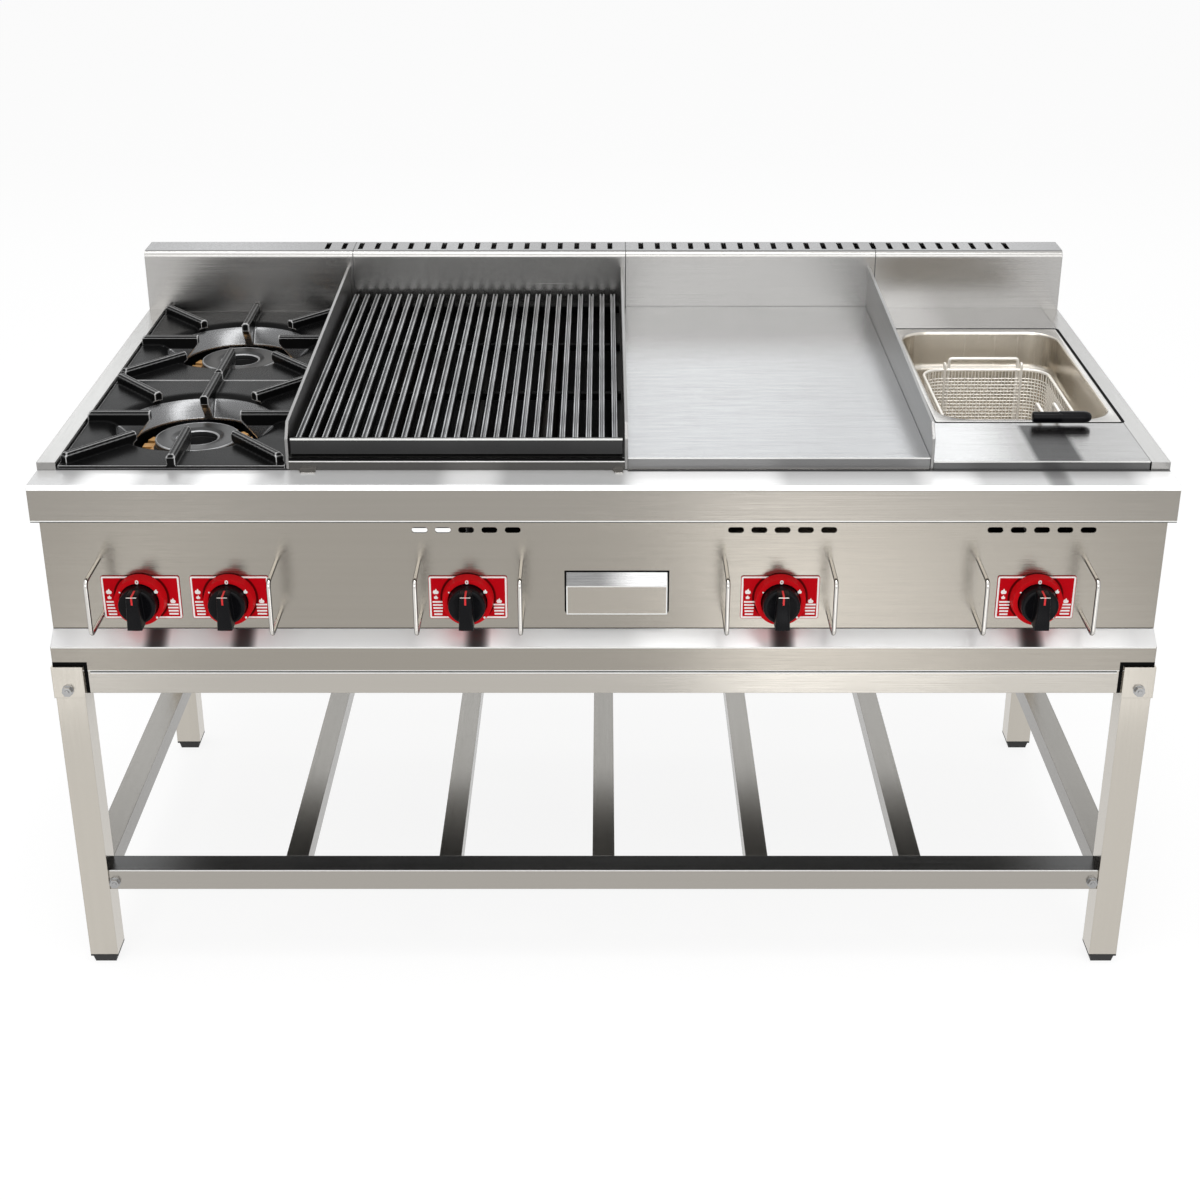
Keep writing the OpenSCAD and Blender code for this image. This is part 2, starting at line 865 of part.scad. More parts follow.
// One finger along +x, from its tip at radius r0 to its blunt outer end at radius r1
module finger(r0, r1) {
    chamfer = 3;
    end_cut = 4;
    reach = [for (r = bowl_line) if (r > r0 + 6) [r, bowl_z(r) - 1]];
    low = min([for (p = reach) p[1]]);
    intersection() {
        rotate([90, 0, 0])
            linear_extrude(finger_w, center = true)
                polygon(concat([[r0, finger_top], [r0, finger_top - 13]], reach,
                    [[bowl_r + 2, cast_low + 1], [r1, cast_low + 1],
                    [r1, finger_top - end_cut], [r1 - end_cut, finger_top]]));
        rotate([90, 0, 90])
            linear_extrude(r1 + over)
                polygon([[-finger_w / 2, low - over], [finger_w / 2, low - over],
                    [finger_w / 2, finger_top - chamfer], [finger_w / 2 - chamfer, finger_top],
                    [chamfer - finger_w / 2, finger_top], [-finger_w / 2, finger_top - chamfer]]);
    }
}

module burner_grate(y) {
    end_in = finger_w / 2 + 1;
    corner = [cast_w / 2 - end_in, cast_l / 2 - end_in];
    diagonal = atan2(corner[1], corner[0]);
    color(iron)
        translate([burner_x, y, 0]) {
            translate([0, 0, cast_low])
                linear_extrude(cast_top - cast_low)
                    difference() {
                        square([cast_w, cast_l], center = true);
                        circle(bowl_r + 3);
                    }
            bowl();
            for (side = [0, 180]) {
                rotate(side)
                    finger(tip_r, cast_w / 2);
                rotate(side + 90)
                    finger(tip_r, cast_l / 2);
            }
            for (turn = [diagonal, 180 - diagonal, 180 + diagonal, -diagonal])
                rotate(turn)
                    finger(corner_tip_r, norm(corner));
        }
}

module burner_grate_front() { burner_grate(burner_ys[0]); }
module burner_grate_rear() { burner_grate(burner_ys[1]); }

// Charbroiler

fire_x0 = guard_x1 + guard_t / 2;
fire_x1 = guard_x2 - guard_t / 2;
fire_floor = firebox_z - firebox_d;
char_burner_z = fire_floor + burner_rise - 11;
burner_front = well_y + burner_inset;
burner_back = splash_y - burner_inset - 18;
chute_w = 50;
chute_in = 60;
chute_l = 90;
chute_y = [well_y + chute_in, well_y + chute_in + chute_l];
chute_x = fire_x1 - 20;

module char_firebox() {
    color(steel)
        difference() {
            well_box(fire_x0, fire_x1, fire_floor, firebox_z, 12);
            span([chute_x - chute_w, chute_y[0], fire_floor - over],
                [chute_x, chute_y[1], fire_floor + sheet + over]);
            translate([knob_x[2], burner_front, fire_floor - over])
                cylinder(r = feed_r + 2, h = sheet + 2 * over);
        }
}

// How far the welded elbow of a burner stands out past its tubes
elbow = 1;
// Radius of the boss that takes a burner's feed, and how far it stands out past the tube
boss_r = 9;
boss_out = 9;

// Two straight burner tubes joined at the front, on feet that stand on the floor below
module tube_burner(x, half, feed_x, z, floor_z) {
    boss_h = tube_r + boss_out;
    translate([x - half, burner_front, z])
        rotate([0, 90, 0])
            cylinder(r = tube_r, h = 2 * half);
    for (side = [-1, 1])
        translate([x + side * half, 0, z]) {
            translate([0, burner_front, 0])
                sphere(tube_r + elbow);
            rod_y(tube_r, burner_front, burner_back);
            for (y = [burner_front + 2 * tube_r, burner_back - 2 * tube_r])
                span([-tube_r / 2, y, floor_z - z], [tube_r / 2, y + 2 * sheet, 0]);
        }
    translate([feed_x, burner_front, z - boss_h])
        cylinder(r = boss_r, h = boss_h);
}

module char_burner() {
    color([0.4, 0.4, 0.4])
        tube_burner(char_x, char_w / 4, knob_x[2], char_burner_z, fire_floor + sheet);
}

module char_radiants() {
    pitch = (fire_x1 - fire_x0) / radiant_n;
    half = 38;
    rise = 22;
    z = char_burner_z + tube_r + 10;
    color([0.3, 0.3, 0.3])
        for (i = [0 : radiant_n - 1])
            translate([fire_x0 + (i + 0.5) * pitch, splash_y - sheet, z])
                rotate([90, 0, 0])
                    linear_extrude(well_l - 2 * sheet)
                        polygon([[-half, 0], [0, rise], [half, 0], [half, -sheet], [0, rise - sheet],
                            [-half, -sheet]]);
}

bar_top = firebox_z + 26;
bar_low = bar_top - bar_h;
grate_low = firebox_z + seat_gap;
grate_y0 = well_y + 4;
grate_y1 = splash_y - 18;

// Outline of one bar from above: square at the front, round at the back
module bar_outline(w, y0, y1) {
    translate([-w / 2, y0])
        square([w, y1 - y0 - w / 2]);
    translate([0, y1 - w / 2])
        circle(w / 2);
}

module char_grate() {
    front_t = 6;
    cross_w = 10;
    rail_w = 6;
    bar_pitch = (fire_x1 - fire_x0 - 2 * grate_gap - 2 * rail_w - bar_w) / (bar_n - 1);
    bar_tail = 14;
    crosses = [grate_y0 + front_t, grate_y0 + (grate_y1 - grate_y0) / 3,
        grate_y0 + (grate_y1 - grate_y0) * 2 / 3, grate_y1 - bar_tail - cross_w];
    color([0.12, 0.12, 0.12]) {
        for (i = [0 : bar_n - 1])
            translate([char_x + (i - (bar_n - 1) / 2) * bar_pitch, 0, bar_low])
                difference() {
                    linear_extrude(bar_h)
                        bar_outline(bar_w, grate_y0 + front_t - over, grate_y1);
                    translate([0, 0, bar_h - groove_d])
                        linear_extrude(groove_d + over)
                            bar_outline(groove_w, grate_y0 + front_t + 3, grate_y1 - 3);
                }
        for (y = crosses)
            span([fire_x0 + grate_gap, y, grate_low], [fire_x1 - grate_gap, y + cross_w, bar_low + 2]);
        span([fire_x0 + grate_gap, grate_y0, grate_low + 4],
            [fire_x1 - grate_gap, grate_y0 + front_t, bar_top]);
    }
}

// An upright plate between two sections, chamfered at its front top corner
module splash_guard(x) {
    low = deck_z - 20;
    front_y = well_y + sheet;
    color(steel)
        along_x(x - guard_t / 2, x + guard_t / 2)
            polygon([[front_y, low], [front_y, deck_z + guard_front],
                [front_y + guard_cut, deck_z + guard_front + guard_cut],
                [splash_y, deck_z + guard_back], [splash_y, low]]);
}

module guard_left() { splash_guard(guard_x1); }
module guard_middle() { splash_guard(guard_x2); }
module guard_right() { splash_guard(guard_x3); }

// Griddle

plate_x0 = guard_x2 + guard_t / 2;
plate_x1 = guard_x3 - guard_t / 2;
griddle_floor = cast_z - griddle_box_d;
griddle_burner_z = griddle_floor + burner_rise;

module griddle_box() {
    color(steel)
        difference() {
            well_box(plate_x0, plate_x1, griddle_floor, cast_z, 16);
            translate([knob_x[3], burner_front, griddle_floor - over])
                cylinder(r = feed_r + 2, h = sheet + 2 * over);
        }
}

module griddle_burner() {
    color([0.4, 0.4, 0.4])
        tube_burner(griddle_x, griddle_w / 4, knob_x[3], griddle_burner_z, griddle_floor + sheet);
}

module griddle_plate() {
    edge = 1;
    color(steel)
        along_x(plate_x0 + seat_gap, plate_x1 - seat_gap)
            polygon([[well_y + 4, cast_z], [well_y + 4, cast_z + griddle_t - edge],
                [well_y + 4 + edge, cast_z + griddle_t], [splash_y - 1, cast_z + griddle_t],
                [splash_y - 1, cast_z]]);
}

// Grease chute, drawer and runners

module grease_chute() {
    drop_z = drawer_z + drawer_h + 3;
    color(steel)
        difference() {
            span([chute_x - chute_w, chute_y[0], drop_z], [chute_x, chute_y[1], fire_floor]);
            span([chute_x - chute_w + sheet, chute_y[0] + sheet, drop_z - over],
                [chute_x - sheet, chute_y[1] - sheet, fire_floor + over]);
        }
}

drawer_box_w = drawer_w - 8;
drawer_y0 = panel_in + 4;
lip_h = 16;

module grease_drawer() {
    face_y = panel_in - pull_out;
    color(steel) {
        difference() {
            span([drawer_x - drawer_box_w / 2, drawer_y0, drawer_z + 2],
                [drawer_x + drawer_box_w / 2, drawer_y0 + drawer_l, drawer_z + drawer_h - 4]);
            span([drawer_x - drawer_box_w / 2 + sheet, drawer_y0 + sheet, drawer_z + 2 + sheet],
                [drawer_x + drawer_box_w / 2 - sheet, drawer_y0 + drawer_l - sheet,
                drawer_z + drawer_h]);
        }
        along_x(drawer_x - drawer_w / 2, drawer_x + drawer_w / 2)
            polygon([[face_y, drawer_z], [face_y, drawer_z + drawer_h - lip_h],
                [panel_in, drawer_z + drawer_h], [drawer_y0 + sheet, drawer_z + drawer_h],
                [drawer_y0 + sheet, drawer_z + drawer_h - 8], [drawer_y0, drawer_z + drawer_h - 8],
                [drawer_y0, drawer_z + drawer_h - sheet], [panel_in, drawer_z + drawer_h - sheet],
                [face_y + sheet, drawer_z + drawer_h - lip_h - sheet], [face_y + sheet, drawer_z]]);
    }
}

module drawer_runners() {
    rest_z = drawer_z + 2 - seat_gap;
    post_l = 12;
    back_y = drawer_y0 + drawer_l - post_l;
    color([0.6, 0.6, 0.6])
        for (side = [0, 1])
            translate([drawer_x, 0, 0])
                mirror([side, 0, 0]) {
                    span([drawer_box_w / 2 + 1, panel_in + sheet, rest_z - sheet],
                        [drawer_box_w / 2 + 1 + sheet, drawer_y0 + drawer_l, rest_z + 20]);
                    span([drawer_box_w / 2 - 10, panel_in + sheet, rest_z - sheet],
                        [drawer_box_w / 2 + 1 + sheet, drawer_y0 + drawer_l, rest_z]);
                    span([drawer_box_w / 2 - 10, back_y, body_z + sheet],
                        [drawer_box_w / 2 + 1 + sheet, back_y + post_l, rest_z - sheet + 0.5]);
                }
}

// Fryer

fryer_x0 = guard_x3 + guard_t / 2;
fryer_x1 = well_x4 - 3;
pan_w = fryer_x1 - fryer_x0 - fryer_edge;
pan_x = fryer_x1 - pan_w / 2;
pan_y = pan_in + pan_l / 2;
pan_top = fryer_z;
pan_step = 58;

module fryer_top() {
    ledge = 6 + pan_gap;
    skirt_z = deck_z - 6;
    cut_w = pan_w + 2 * pan_gap;
    cut_l = pan_l + 2 * pan_gap;
    color(steel)
        difference() {
            span([fryer_x0, well_y, skirt_z], [fryer_x1 + 1, splash_y, fryer_z]);
            span([fryer_x0 + sheet, well_y + sheet, skirt_z - over],
                [fryer_x1 + 1 - sheet, splash_y - sheet, fryer_z - 2 * sheet]);
            translate([pan_x, pan_y, fryer_z - sheet])
                linear_extrude(sheet + over)
                    square([cut_w, cut_l], center = true);
            translate([pan_x, pan_y, fryer_z - 2 * sheet - over])
                linear_extrude(3 * sheet)
                    square([cut_w - 2 * ledge, cut_l - 2 * ledge], center = true);
        }
}

module fryer_pan() {
    mouth_w = pan_w - 2 * pan_flange;
    mouth_l = pan_l - 2 * pan_flange - 10;
    low_w = mouth_w - 8;
    low_l = mouth_l - 8;
    color([0.62, 0.58, 0.52])
        translate([pan_x, pan_y, pan_top])
            difference() {
                union() {
                    translate([0, 0, -sheet])
                        linear_extrude(sheet)
                            round_rect(pan_w, pan_l, 4);
                    translate([0, 0, -pan_step])
                        linear_extrude(pan_step)
                            round_rect(mouth_w + 2 * sheet, mouth_l + 2 * sheet, pan_r + sheet);
                    translate([0, 0, -pan_d])
                        linear_extrude(pan_d)
                            round_rect(low_w + 2 * sheet, low_l + 2 * sheet, pan_r - 2);
                }
                translate([0, 0, -pan_step + sheet])
                    linear_extrude(pan_step + over)
                        round_rect(mouth_w, mouth_l, pan_r);
                translate([0, 0, -pan_d + sheet])
                    linear_extrude(pan_d + over)
                        round_rect(low_w, low_l, pan_r - 4);
            }
}

fryer_burner_z = pan_top - pan_d - tube_r - 16;
fryer_burner_y = [pan_in - 50, pan_in + pan_l - 50];

// Two straight tubes under the pan, joined at the front, on legs that stand on the bottom pan
module fryer_burner() {
    half = pan_w / 6;
    leg_half = 8;
    leg_t = 4;
    color([0.4, 0.4, 0.4])
        translate([pan_x, 0, fryer_burner_z]) {
            translate([-half, fryer_burner_y[0], 0])
                rotate([0, 90, 0])
                    cylinder(r = tube_r, h = 2 * half);
            translate([knob_x[4] - pan_x, 0, knob_z - fryer_burner_z])
                rod_y(boss_r, fryer_burner_y[0] - tube_r - boss_out, fryer_burner_y[0]);
            for (side = [-1, 1])
                translate([side * half, 0, 0]) {
                    translate([0, fryer_burner_y[0], 0])
                        sphere(tube_r + elbow);
                    rod_y(tube_r, fryer_burner_y[0], fryer_burner_y[1]);
                    for (y = [fryer_burner_y[0] + 2 * tube_r, fryer_burner_y[1] - 2 * tube_r])
                        span([-leg_half, y, body_z + sheet - fryer_burner_z], [leg_half, y + leg_t, 0]);
                }
        }
}

basket_x = pan_x;
basket_y = pan_in + 52 + basket_l / 2;
basket_low = pan_top - pan_d + sheet + seat_gap;
basket_top = basket_low + basket_h;
hook_w = 107;
hook_h = 15;
tang_z = pan_top + 11;
tang_y = pan_in - 10;
tang_x = [basket_x + 8, basket_x + 70];
tang_r = 4;
tang_wires = [basket_x + 20, basket_x + 44];

module fry_basket() {
    basket_front = basket_y - basket_l / 2;
    basket_back = basket_y + basket_l / 2;
    color([0.75, 0.74, 0.7]) {
        translate([basket_x, basket_y, basket_low])
            difference() {
                linear_extrude(basket_h)
                    round_rect(basket_w, basket_l, basket_r);
                translate([0, 0, mesh_t])
                    linear_extrude(basket_h)
                        round_rect(basket_w - 2 * mesh_t, basket_l - 2 * mesh_t, basket_r - mesh_t);
            }
        translate([basket_x, basket_y, basket_top - 2 * wire_r])
            linear_extrude(2 * wire_r)
                difference() {
                    round_rect(basket_w + 3, basket_l + 3, basket_r + 1.5);
                    round_rect(basket_w - 5, basket_l - 5, basket_r - 2.5);
                }
        pipe_run([[basket_x - hook_w / 2, basket_back + 2, basket_top - 60],
            [basket_x - hook_w / 2, basket_back + 2, basket_top + hook_h],
            [basket_x + hook_w / 2, basket_back + 2, basket_top + hook_h],
            [basket_x + hook_w / 2, basket_back + 2, basket_top - 60]], wire_r);
        for (x = tang_wires)
            pipe_run([[x, basket_front - 2, basket_top - 60], [x, basket_front - 2, tang_z],
                [x, tang_y, tang_z]], wire_r);
        translate([tang_x[0], tang_y, tang_z])
            rotate([0, 90, 0])
                cylinder(r = tang_r, h = tang_x[1] - tang_x[0]);
    }
}

module basket_handle() {
    sleeve_l = handle_l * 0.45;
    x0 = tang_x[0] - 6;
    color([0.06, 0.06, 0.06])
        difference() {
            union() {
                translate([x0, tang_y, tang_z])
                    rotate([0, 90, 0])
                        cylinder(r = handle_r - 1.5, h = sleeve_l);
                translate([x0 + sleeve_l, tang_y, tang_z])
                    rotate([0, 90, 0])
                        cylinder(r = handle_r, h = handle_l - sleeve_l - handle_r);
                translate([x0 + handle_l - handle_r, tang_y, tang_z])
                    sphere(handle_r);
            }
            translate([tang_x[0] - 8, tang_y, tang_z])
                rotate([0, 90, 0])
                    cylinder(r = tang_r + seat_gap, h = tang_x[1] - tang_x[0] + 8 + seat_gap);
            span([tang_wires[0] - wire_r - 1, tang_y, tang_z - wire_r - 1],
                [tang_wires[1] + wire_r + 1, tang_y + 2 * handle_r, tang_z + wire_r + 1]);
        }
}

// Gas train

pipe_y = panel_in + 37;
pipe_z = inlet_z;
valve_low = knob_z - valve_w / 2 - 0.5;
boss_z = pipe_z + pipe_r + 3;
valve_y = [panel_in + sheet + 4, panel_in + sheet + 4 + valve_l];
stem_back = valve_y[0] + 17;

module gas_pipes() {
    feed_y = valve_y[1];
    color([0.75, 0.62, 0.35]) {
        difference() {
            union() {
                pipe_run([[knob_x[0] - 40, pipe_y, pipe_z], [inlet_x, pipe_y, pipe_z],
                    [inlet_x, body_back, pipe_z]], pipe_r);
                translate([inlet_x, 0, pipe_z])
                    rod_y(inlet_r, body_back - 1, body_back + inlet_l);
                for (x = knob_x)
                    translate([x, pipe_y, pipe_z])
                        cylinder(r = 11, h = boss_z - pipe_z);
            }
            translate([inlet_x, 0, pipe_z])
                rod_y(pipe_r - 3, body_back - 20, body_back + inlet_l + over);
        }
        for (i = [0, 1]) {
            riser_y = burner_ys[i] - mouth_l - 22;
            pipe_run([[knob_x[i], feed_y, knob_z], [knob_x[i], max(feed_y + 8, riser_y), knob_z],
                [burner_x, max(feed_y + 8, riser_y), knob_z], [burner_x, riser_y, mouth_z],
                [burner_x, burner_ys[i] - mouth_l - 6, mouth_z]], feed_r);
        }
        for (burner = [[knob_x[2], char_burner_z], [knob_x[3], griddle_burner_z]])
            pipe_run([[burner[0], feed_y, knob_z], [burner[0], burner_front, knob_z],
                [burner[0], burner_front, burner[1] - tube_r - boss_out]], feed_r);
        pipe_run([[knob_x[4], feed_y, knob_z],
            [knob_x[4], fryer_burner_y[0] - tube_r - boss_out, knob_z]], feed_r);
    }
}

module gas_valves() {
    color([0.8, 0.65, 0.3])
        for (x = knob_x)
            translate([x, 0, 0])
                difference() {
                    union() {
                        span([-valve_w / 2, valve_y[0], valve_low], [valve_w / 2, valve_y[1], knob_z + valve_w / 2 + 0.5]);
                        translate([0, 0, knob_z])
                            rod_y(9, panel_in + sheet, valve_y[0] + over);
                        translate([0, pipe_y, boss_z])
                            cylinder(r = 9, h = valve_low - boss_z + over);
                    }
                    translate([0, 0, knob_z])
                        rod_y(stem_r + stem_gap, panel_in, stem_back + 1);
                }
}

// Dial plates, knobs and stems

plate_z = knob_z;
knob_back = panel_in - plate_t - push - 0.5;
knob_front = knob_back - knob_d;
stem_front = knob_front + push + 9;

module dial_plates() {
    color([0.75, 0.03, 0.08])
        for (x = knob_x)
            translate([x, panel_in, plate_z]) {
                rotate([90, 0, 0])
                    linear_extrude(plate_t)
                        difference() {
                            round_rect(plate_w, plate_h, 3);
                            circle(stem_hole_r);
                            for (g = guard_xs, end = [-1, 1])
                                translate([g - x, guard_up + end * guard_h / 2])
                                    circle(rod_r + seat_gap);
                        }
                translate([0, -plate_t, 0])
                    rotate([90, 0, 0])
                        rotate_extrude()
                            polygon([[knob_r + 1, 0], [ring_r, 0], [ring_r - 1.5, ring_d],
                                [knob_r + 1, ring_d - 2]]);
            }
}

// The stem's section: a round bar with a flat on its upper side
module stem_shape(r) {
    flat = stem_r * 0.6;
    difference() {
        circle(r);
        translate([-2 * r, flat + (r - stem_r)])
            square([4 * r, 2 * r]);
    }
}

module valve_stem(k) {
    color([0.7, 0.7, 0.68])
        translate([knob_x[k], 0, knob_z]) {
            translate([0, panel_in, 0])
                rotate([90, 0, 0])
                    linear_extrude(panel_in - stem_front)
                        stem_shape(stem_r);
            rod_y(stem_r, panel_in - over, stem_back);
        }
}

module knob(k) {
    bore_d = knob_back - stem_front + push + 1;
    skirt_front = knob_back - skirt_d;
    grip_half = knob_r - 1.2;
    grip_edge = 2;
    grip_l = skirt_front - knob_front + 2 * grip_edge;
    color([0.05, 0.05, 0.05])
        translate([knob_x[k], 0, knob_z])
            difference() {
                union() {
                    translate([0, knob_back, 0])
                        rotate([90, 0, 0])
                            cylinder(r1 = knob_r, r2 = knob_r - 1.5, h = skirt_d);
                    intersection() {
                        rod_y(knob_r - 0.5, knob_front, skirt_front + over);
                        translate([0, knob_front + grip_l / 2, 0])
                            rotate([0, 90, 0])
                                linear_extrude(2 * knob_r, center = true)
                                    round_rect(2 * grip_half, grip_l, grip_edge);
                        translate([0, knob_front + grip_l, 0])
                            rotate([90, 0, 0])
                                linear_extrude(grip_l)
                                    polygon([[-grip_w / 2, grip_half], [grip_w / 2, grip_half],
                                        [grip_low_w / 2, -grip_half], [-grip_low_w / 2, -grip_half]]);
                    }
                }
                translate([0, knob_back + over, 0])
                    rotate([90, 0, 0])
                        linear_extrude(bore_d + over)
                            stem_shape(stem_r + stem_gap);
            }
}

module knob_1() { knob(0); }
module knob_2() { knob(1); }
module knob_3() { knob(2); }
module knob_4() { knob(3); }
module knob_5() { knob(4); }
module valve_stem_1() { valve_stem(0); }
module valve_stem_2() { valve_stem(1); }
module valve_stem_3() { valve_stem(2); }
module valve_stem_4() { valve_stem(3); }
module valve_stem_5() { valve_stem(4); }

// One guard: a rod bent to a U, with its roots on the panel
module knob_guard() {
    bar_y = panel_in - guard_reach + rod_r;
    half = guard_h / 2;
    for (end = [0, 1])
        mirror([0, 0, end]) {
            translate([0, 0, half])
                rod_y(rod_r, bar_y + guard_bend, panel_in);
            translate([0, bar_y + guard_bend, half - guard_bend])
                rotate([90, 0, -90])
                    rotate_extrude(angle = 90)
                        translate([guard_bend, 0])
                            circle(rod_r);
        }
    translate([0, bar_y, guard_bend - half])
        cylinder(r = rod_r, h = guard_h - 2 * guard_bend);
}

module knob_guards() {
    color([0.8, 0.8, 0.78])
        for (x = guard_xs)
            translate([x, 0, knob_z + guard_up])
                knob_guard();
}

range_place() leg_front_left();
range_place() leg_front_right();
range_place() leg_rear_left();
range_place() leg_rear_right();
range_place() leg_feet();
range_place() corner_brackets();
range_place() upper_rail_front();
range_place() upper_rail_rear();
range_place() upper_side_rails();
range_place() lower_rail_front();
range_place() lower_rail_rear();
range_place() lower_side_rails();
range_place() shelf_slats();
range_place() frame_bolts();
range_place() control_panel();
range_place() side_panel_left();
range_place() side_panel_right();
range_place() rear_panel();
range_place() bottom_pan();
range_place() deck_front();
range_place() splash_left();
range_place() splash_right();
range_place() burner_tray();
range_place() burner_heads();
range_place() burner_cap_front();
range_place() burner_cap_rear();
range_place() burner_grate_front();
range_place() burner_grate_rear();
range_place() char_firebox();
range_place() char_burner();
range_place() char_radiants();
range_place() char_grate();
range_place() guard_left();
range_place() guard_middle();
range_place() guard_right();
range_place() griddle_box();
range_place() griddle_burner();
range_place() griddle_plate();
range_place() grease_chute();
range_place() grease_drawer();
range_place() drawer_runners();
range_place() fryer_top();
range_place() fryer_pan();
range_place() fryer_burner();
range_place() fry_basket();
range_place() basket_handle();
range_place() gas_pipes();
range_place() gas_valves();
range_place() dial_plates();
range_place() knob_guards();
range_place() knob_1();
range_place() knob_2();
range_place() knob_3();
range_place() knob_4();
range_place() knob_5();
range_place() valve_stem_1();
range_place() valve_stem_2();
range_place() valve_stem_3();
range_place() valve_stem_4();
range_place() valve_stem_5();
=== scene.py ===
# %% [markdown]
# A gas combination range in stainless steel: open burners, charbroiler, griddle and fryer on one stand.
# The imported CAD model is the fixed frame. Its sheets and tubes stay as they are and get finishes here.
# Castings, wire mesh, knobs and the drawn pan are rebuilt as finer meshes that ride on the same bodies.

# %% Load the frame
import json
from math import cos, hypot, pi, radians, sin

import bmesh
import bpy
import numpy as np
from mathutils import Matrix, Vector


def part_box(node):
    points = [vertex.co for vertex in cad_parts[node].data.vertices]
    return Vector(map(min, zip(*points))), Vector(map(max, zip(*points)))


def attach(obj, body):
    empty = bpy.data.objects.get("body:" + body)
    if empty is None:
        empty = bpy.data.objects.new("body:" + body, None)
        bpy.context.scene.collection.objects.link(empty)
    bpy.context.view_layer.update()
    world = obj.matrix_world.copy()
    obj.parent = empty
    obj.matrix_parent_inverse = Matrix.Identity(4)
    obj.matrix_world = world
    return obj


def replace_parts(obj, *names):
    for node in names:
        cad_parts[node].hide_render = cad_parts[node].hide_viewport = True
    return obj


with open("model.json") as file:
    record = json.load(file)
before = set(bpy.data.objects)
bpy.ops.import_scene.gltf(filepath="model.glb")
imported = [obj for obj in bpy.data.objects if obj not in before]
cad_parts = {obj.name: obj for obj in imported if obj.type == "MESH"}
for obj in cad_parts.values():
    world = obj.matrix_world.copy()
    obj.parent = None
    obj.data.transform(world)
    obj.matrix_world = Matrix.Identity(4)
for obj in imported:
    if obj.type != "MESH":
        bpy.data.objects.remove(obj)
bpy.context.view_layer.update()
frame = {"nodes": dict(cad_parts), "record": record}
NODES = frame["nodes"]
BODY_OF = {node: body for body, nodes in frame["record"]["behaviour"]["bodies"].items() for node in nodes}

# %% [markdown]
# The drawing of this range is in millimetres with y = 0 at the deck's front edge, while the frame is in
# metres with y = 0 in the middle. One helper turns a drawing point into a frame point, so that the numbers
# below can be read against the real object.

# %% Units and places
MM = 0.001
DECK_Y = -398.0


def at(x, y, z):
    """A drawing point in millimetres as a frame point in metres."""
    return Vector((x * MM, (y + DECK_Y) * MM, z * MM))


# %% [markdown]
# The camera stands in front of the range and looks down 25 degrees, as the photograph does. Its place was
# solved from the straight edges of the deck and the stand. The long lens keeps the legs nearly upright.

# %% Camera
PHOTO = 1200
FOCAL_PX = 1940.0
CAMERA_PITCH = 25.0
camera = bpy.data.objects.new("camera", bpy.data.cameras.new("camera"))
bpy.context.scene.collection.objects.link(camera)
camera.location = (0.0, -2.7417, 1.6814)
camera.rotation_euler = (radians(90 - CAMERA_PITCH), 0, 0)
camera.data.sensor_width = 36
camera.data.lens = FOCAL_PX / PHOTO * camera.data.sensor_width
camera.data.shift_x, camera.data.shift_y = -3.5 / PHOTO, 2.0 / PHOTO
camera.data.clip_end = 60
bpy.context.scene.camera = camera
print("lens", round(camera.data.lens, 1), "mm")

# %% [markdown]
# A finish is a Principled shader whose base colour, roughness and normal vary over the surface. Node maths is
# hard to read as boxes and links, so a small class wraps one output and turns plus and times into Math nodes.


# %% Shader arithmetic
class Wire:
    """One output of a shader node that can be used in a Python expression."""

    def __init__(self, finish, socket):
        self.finish, self.socket = finish, socket

    def math(self, operation, *others, first=None):
        values = [self if first is None else first, *others]
        return self.finish.node("ShaderNodeMath", {"operation": operation}, dict(enumerate(values)))

    def __add__(self, other):
        return self.math("ADD", other)

    def __radd__(self, other):
        return self.math("ADD", other)

    def __sub__(self, other):
        return self.math("SUBTRACT", other)

    def __rsub__(self, other):
        return self.math("SUBTRACT", self, first=other)

    def __mul__(self, other):
        return self.math("MULTIPLY", other)

    def __rmul__(self, other):
        return self.math("MULTIPLY", other)

    def clamp(self):
        made = self.math("ADD", 0.0)
        made.socket.node.use_clamp = True
        return made

    def smooth(self, low, high):
        """0 below low, 1 above high, and an even slope between them."""
        settings = {"interpolation_type": "SMOOTHSTEP"}
        return self.finish.node("ShaderNodeMapRange", settings, {"Value": self, "From Min": low, "From Max": high})


